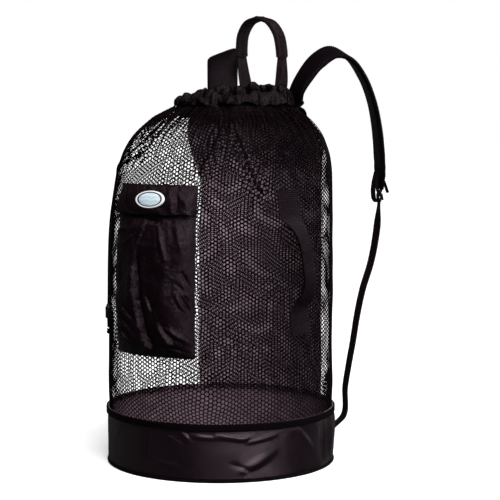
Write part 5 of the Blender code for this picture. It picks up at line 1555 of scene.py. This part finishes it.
def handle_path(samples):
    """Centre line and width directions of the top handle's loop: two mirrored legs through
    HANDLE_LEG and a quarter circle, leaning by a share of their height."""
    half, foot = HANDLE_SPAN / 2 - HANDLE_DRAW, HANDLE_FOOT_SPAN / 2
    seat, angle = yoke_seat(foot, WEBBING, WEBBING_THICKNESS, (0.70, 0.50, 0.26, 0.04))
    rise = HANDLE_TOP - NET_TOP
    side, up = HANDLE_LEG[:, 0], HANDLE_LEG[:, 1]
    turn = np.radians((30.0, 60.0, 90.0))
    side = np.append(side, np.cos(turn))
    up = np.append(up, up[-1] + (1 - up[-1]) * np.sin(turn))
    loop = np.stack((half * side, np.full(len(side), HANDLE_BACK), NET_TOP + rise * up), -1)
    right = curve_through(np.vstack((seat, loop)), samples)
    share = np.clip(((right[:, 2] - NET_TOP) / rise + 0.04) / 0.60, 0, 1)[:, None]
    sewn, turned = bearing(angle[-1] - 90.0), bearing(HANDLE_BEARING)
    centres = np.vstack((right, right[-2::-1] * (-1, 1, 1)))
    centres[:, 0] += HANDLE_LEAN * np.clip((centres[:, 2] - NET_TOP) / rise, 0, 1)
    first = sewn * (1 - share) + turned * share
    second = sewn * (1, -1, -1) * (1 - share) + turned * share
    return centres, np.vstack((first, second[-2::-1]))


class BAG_OT_handles(bpy.types.Operator):
    """Top handle with its wrapped grip, and the side handle folded in half"""
    bl_idname = "bag.handles"
    bl_label = "Handles"

    def execute(self, context):
        centres, across = handle_path(100)
        rings = band_rings(centres, across, flat_section(12), WEBBING, WEBBING_THICKNESS)
        loop = closed_tube("handle_loop", rings, run_along(centres), 0.054)
        wear(loop, finish("webbing"), "webbing", "top_handle")

        # Grip: tape wound round the loop, with a step at each turn of the winding
        first, last = int(len(centres) * GRIP_FROM), int(len(centres) * GRIP_TO)
        spine = curve_through(centres[first:last], 260)
        edge = np.repeat(across[len(across) // 2][None], 260, 0)
        run = run_along(spine)
        section = np.column_stack(superellipse(28, 0.5, 0.7))
        winding = (run[:, None] / GRIP_TURN + np.arange(28) / 28) % 1.0
        step = 0.55 * winding + 0.45 * ease((1 - winding) / 0.12) - 0.5
        rings = band_rings(spine, edge, section, WEBBING + GRIP_WIDER, WEBBING_THICKNESS + GRIP_THICKER)
        centre = spine[:, None, :]
        away = rings - centre
        away /= np.linalg.norm(away, axis=2, keepdims=True)
        ends = (ease(run / 0.004) * ease((run[-1] - run) / 0.004))[:, None, None]
        rings = centre + (rings - centre) * (0.72 + 0.28 * ends) + away * (GRIP_STEP * step[:, :, None])
        grip = closed_tube("wound_grip", rings, run, 0.068)
        wear(grip, finish("webbing"), "webbing", "handle_grip")

        # Side handle: sewn flat at its ends, its middle folded over into two layers
        share = np.linspace(0.0, 1.0, 620)
        table = smooth(SIDE_HANDLE_ROUTE, share)
        proud, fold = np.clip(table[:, 0], 0, None), np.clip(table[:, 1], 0, 1)
        thickness = WEBBING_THICKNESS * (1 + 1.2 * fold)
        angle = SIDE_HANDLE_TOP_ANGLE + share * (SIDE_HANDLE_BOTTOM_ANGLE - SIDE_HANDLE_TOP_ANGLE)
        height = SIDE_HANDLE_TOP + share * (SIDE_HANDLE_BOTTOM - SIDE_HANDLE_TOP)
        centres = on_bag(angle, height, GAP + thickness / 2 + proud * SIDE_HANDLE_PROUD)
        across = bearing(angle + 90.0)
        breadth = SIDE_HANDLE_WIDTH + (SIDE_HANDLE_FOLDED - SIDE_HANDLE_WIDTH) * fold
        section = flat_section(22)
        rings = band_rings(centres, across, section, breadth, thickness)
        _, width, normal = path_frame(centres, across)
        out = np.sign((normal * bearing(angle)).sum(1))[:, None] * normal
        x = section[:, 0]
        # The flat patches follow the bag's curve, and the folded part has a slot
        # along one edge between its two layers
        sag = -(x[None, :] * breadth[:, None] / 2)**2 / (2 * BAG_RADIUS) * (1 - fold[:, None])
        slot = np.exp(-((x[None, :] + 1.0) / 0.05)**2) * np.exp(-(section[None, :, 1] / 0.5)**2)
        rings = rings + out[:, None] * sag[..., None]
        rings = rings + width[:, None] * (slot * fold[:, None] * 0.004)[..., None]
        run = run_along(centres)
        ribs = RIB_HEIGHT * np.sin(run * math.tau / RIB_PITCH)[:, None] * section[None, :, 1]
        rings = rings + normal[:, None] * ribs[..., None]
        handle = closed_tube("side_handle_strap", rings, run, 0.104)
        wear(handle, finish("webbing"), "webbing", "side_handle")

        rows = []
        breadth, thickness = breadth[:, None], thickness[:, None]

        def sewn(k, x):
            """Points on the patches' outer face at rows k and shares x of the width."""
            off = x * breadth[k] / 2
            return centres[k] + width[k] * off + out[k] * (thickness[k] / 2 - off**2 / (2 * BAG_RADIUS))

        for low, high in ((0.01, 0.105), (0.895, 0.99)):
            inside = np.flatnonzero((share >= low) & (share <= high))
            rows += [(sewn(inside, x), out[inside]) for x in (-0.9, 0.9)]
            for k in (int(round(low * 619)), int(round(high * 619))):
                rows.append((sewn(k, np.linspace(-0.9, 0.9, 20)[:, None]), out[k]))
        seam = stitches("handle_stitches", rows, context.scene.bag_sizes.stitch)
        wear(seam, finish("thread"), "webbing")
        return {"FINISHED"}


PIECES = (BAG_OT_stage, BAG_OT_drawcord, BAG_OT_net, BAG_OT_base, BAG_OT_back, BAG_OT_collar,
          BAG_OT_pocket, BAG_OT_straps, BAG_OT_buckles, BAG_OT_webbing, BAG_OT_handles)


class BAG_PT_panel(bpy.types.Panel):
    """Lists the bag's sizes, colours and pieces"""
    bl_label = "Mesh Dive Gear Bag"
    bl_idname = "BAG_PT_panel"
    bl_space_type = "VIEW_3D"
    bl_region_type = "UI"
    bl_category = "Dive Bag"

    def draw(self, context):
        for group in (context.scene.bag_sizes, context.scene.bag_colours):
            box = self.layout.box()
            for name in group.__annotations__:
                box.prop(group, name)
        for piece in PIECES:
            self.layout.operator(piece.bl_idname)


CLASSES = (BagSizes, BagColours, *PIECES, BAG_PT_panel)


def register():
    """Adds the classes, and the sizes and colours to the scene."""
    for item in CLASSES:
        bpy.utils.register_class(item)
    bpy.types.Scene.bag_sizes = PointerProperty(type=BagSizes)
    bpy.types.Scene.bag_colours = PointerProperty(type=BagColours)


def unregister():
    """Takes out what register adds, in reverse."""
    del bpy.types.Scene.bag_colours
    del bpy.types.Scene.bag_sizes
    for item in reversed(CLASSES):
        bpy.utils.unregister_class(item)


def main():
    """Makes every piece in order."""
    register()
    for piece in PIECES:
        getattr(bpy.ops.bag, piece.bl_idname.split(".")[1])()


if __name__ == "__main__":
    main()
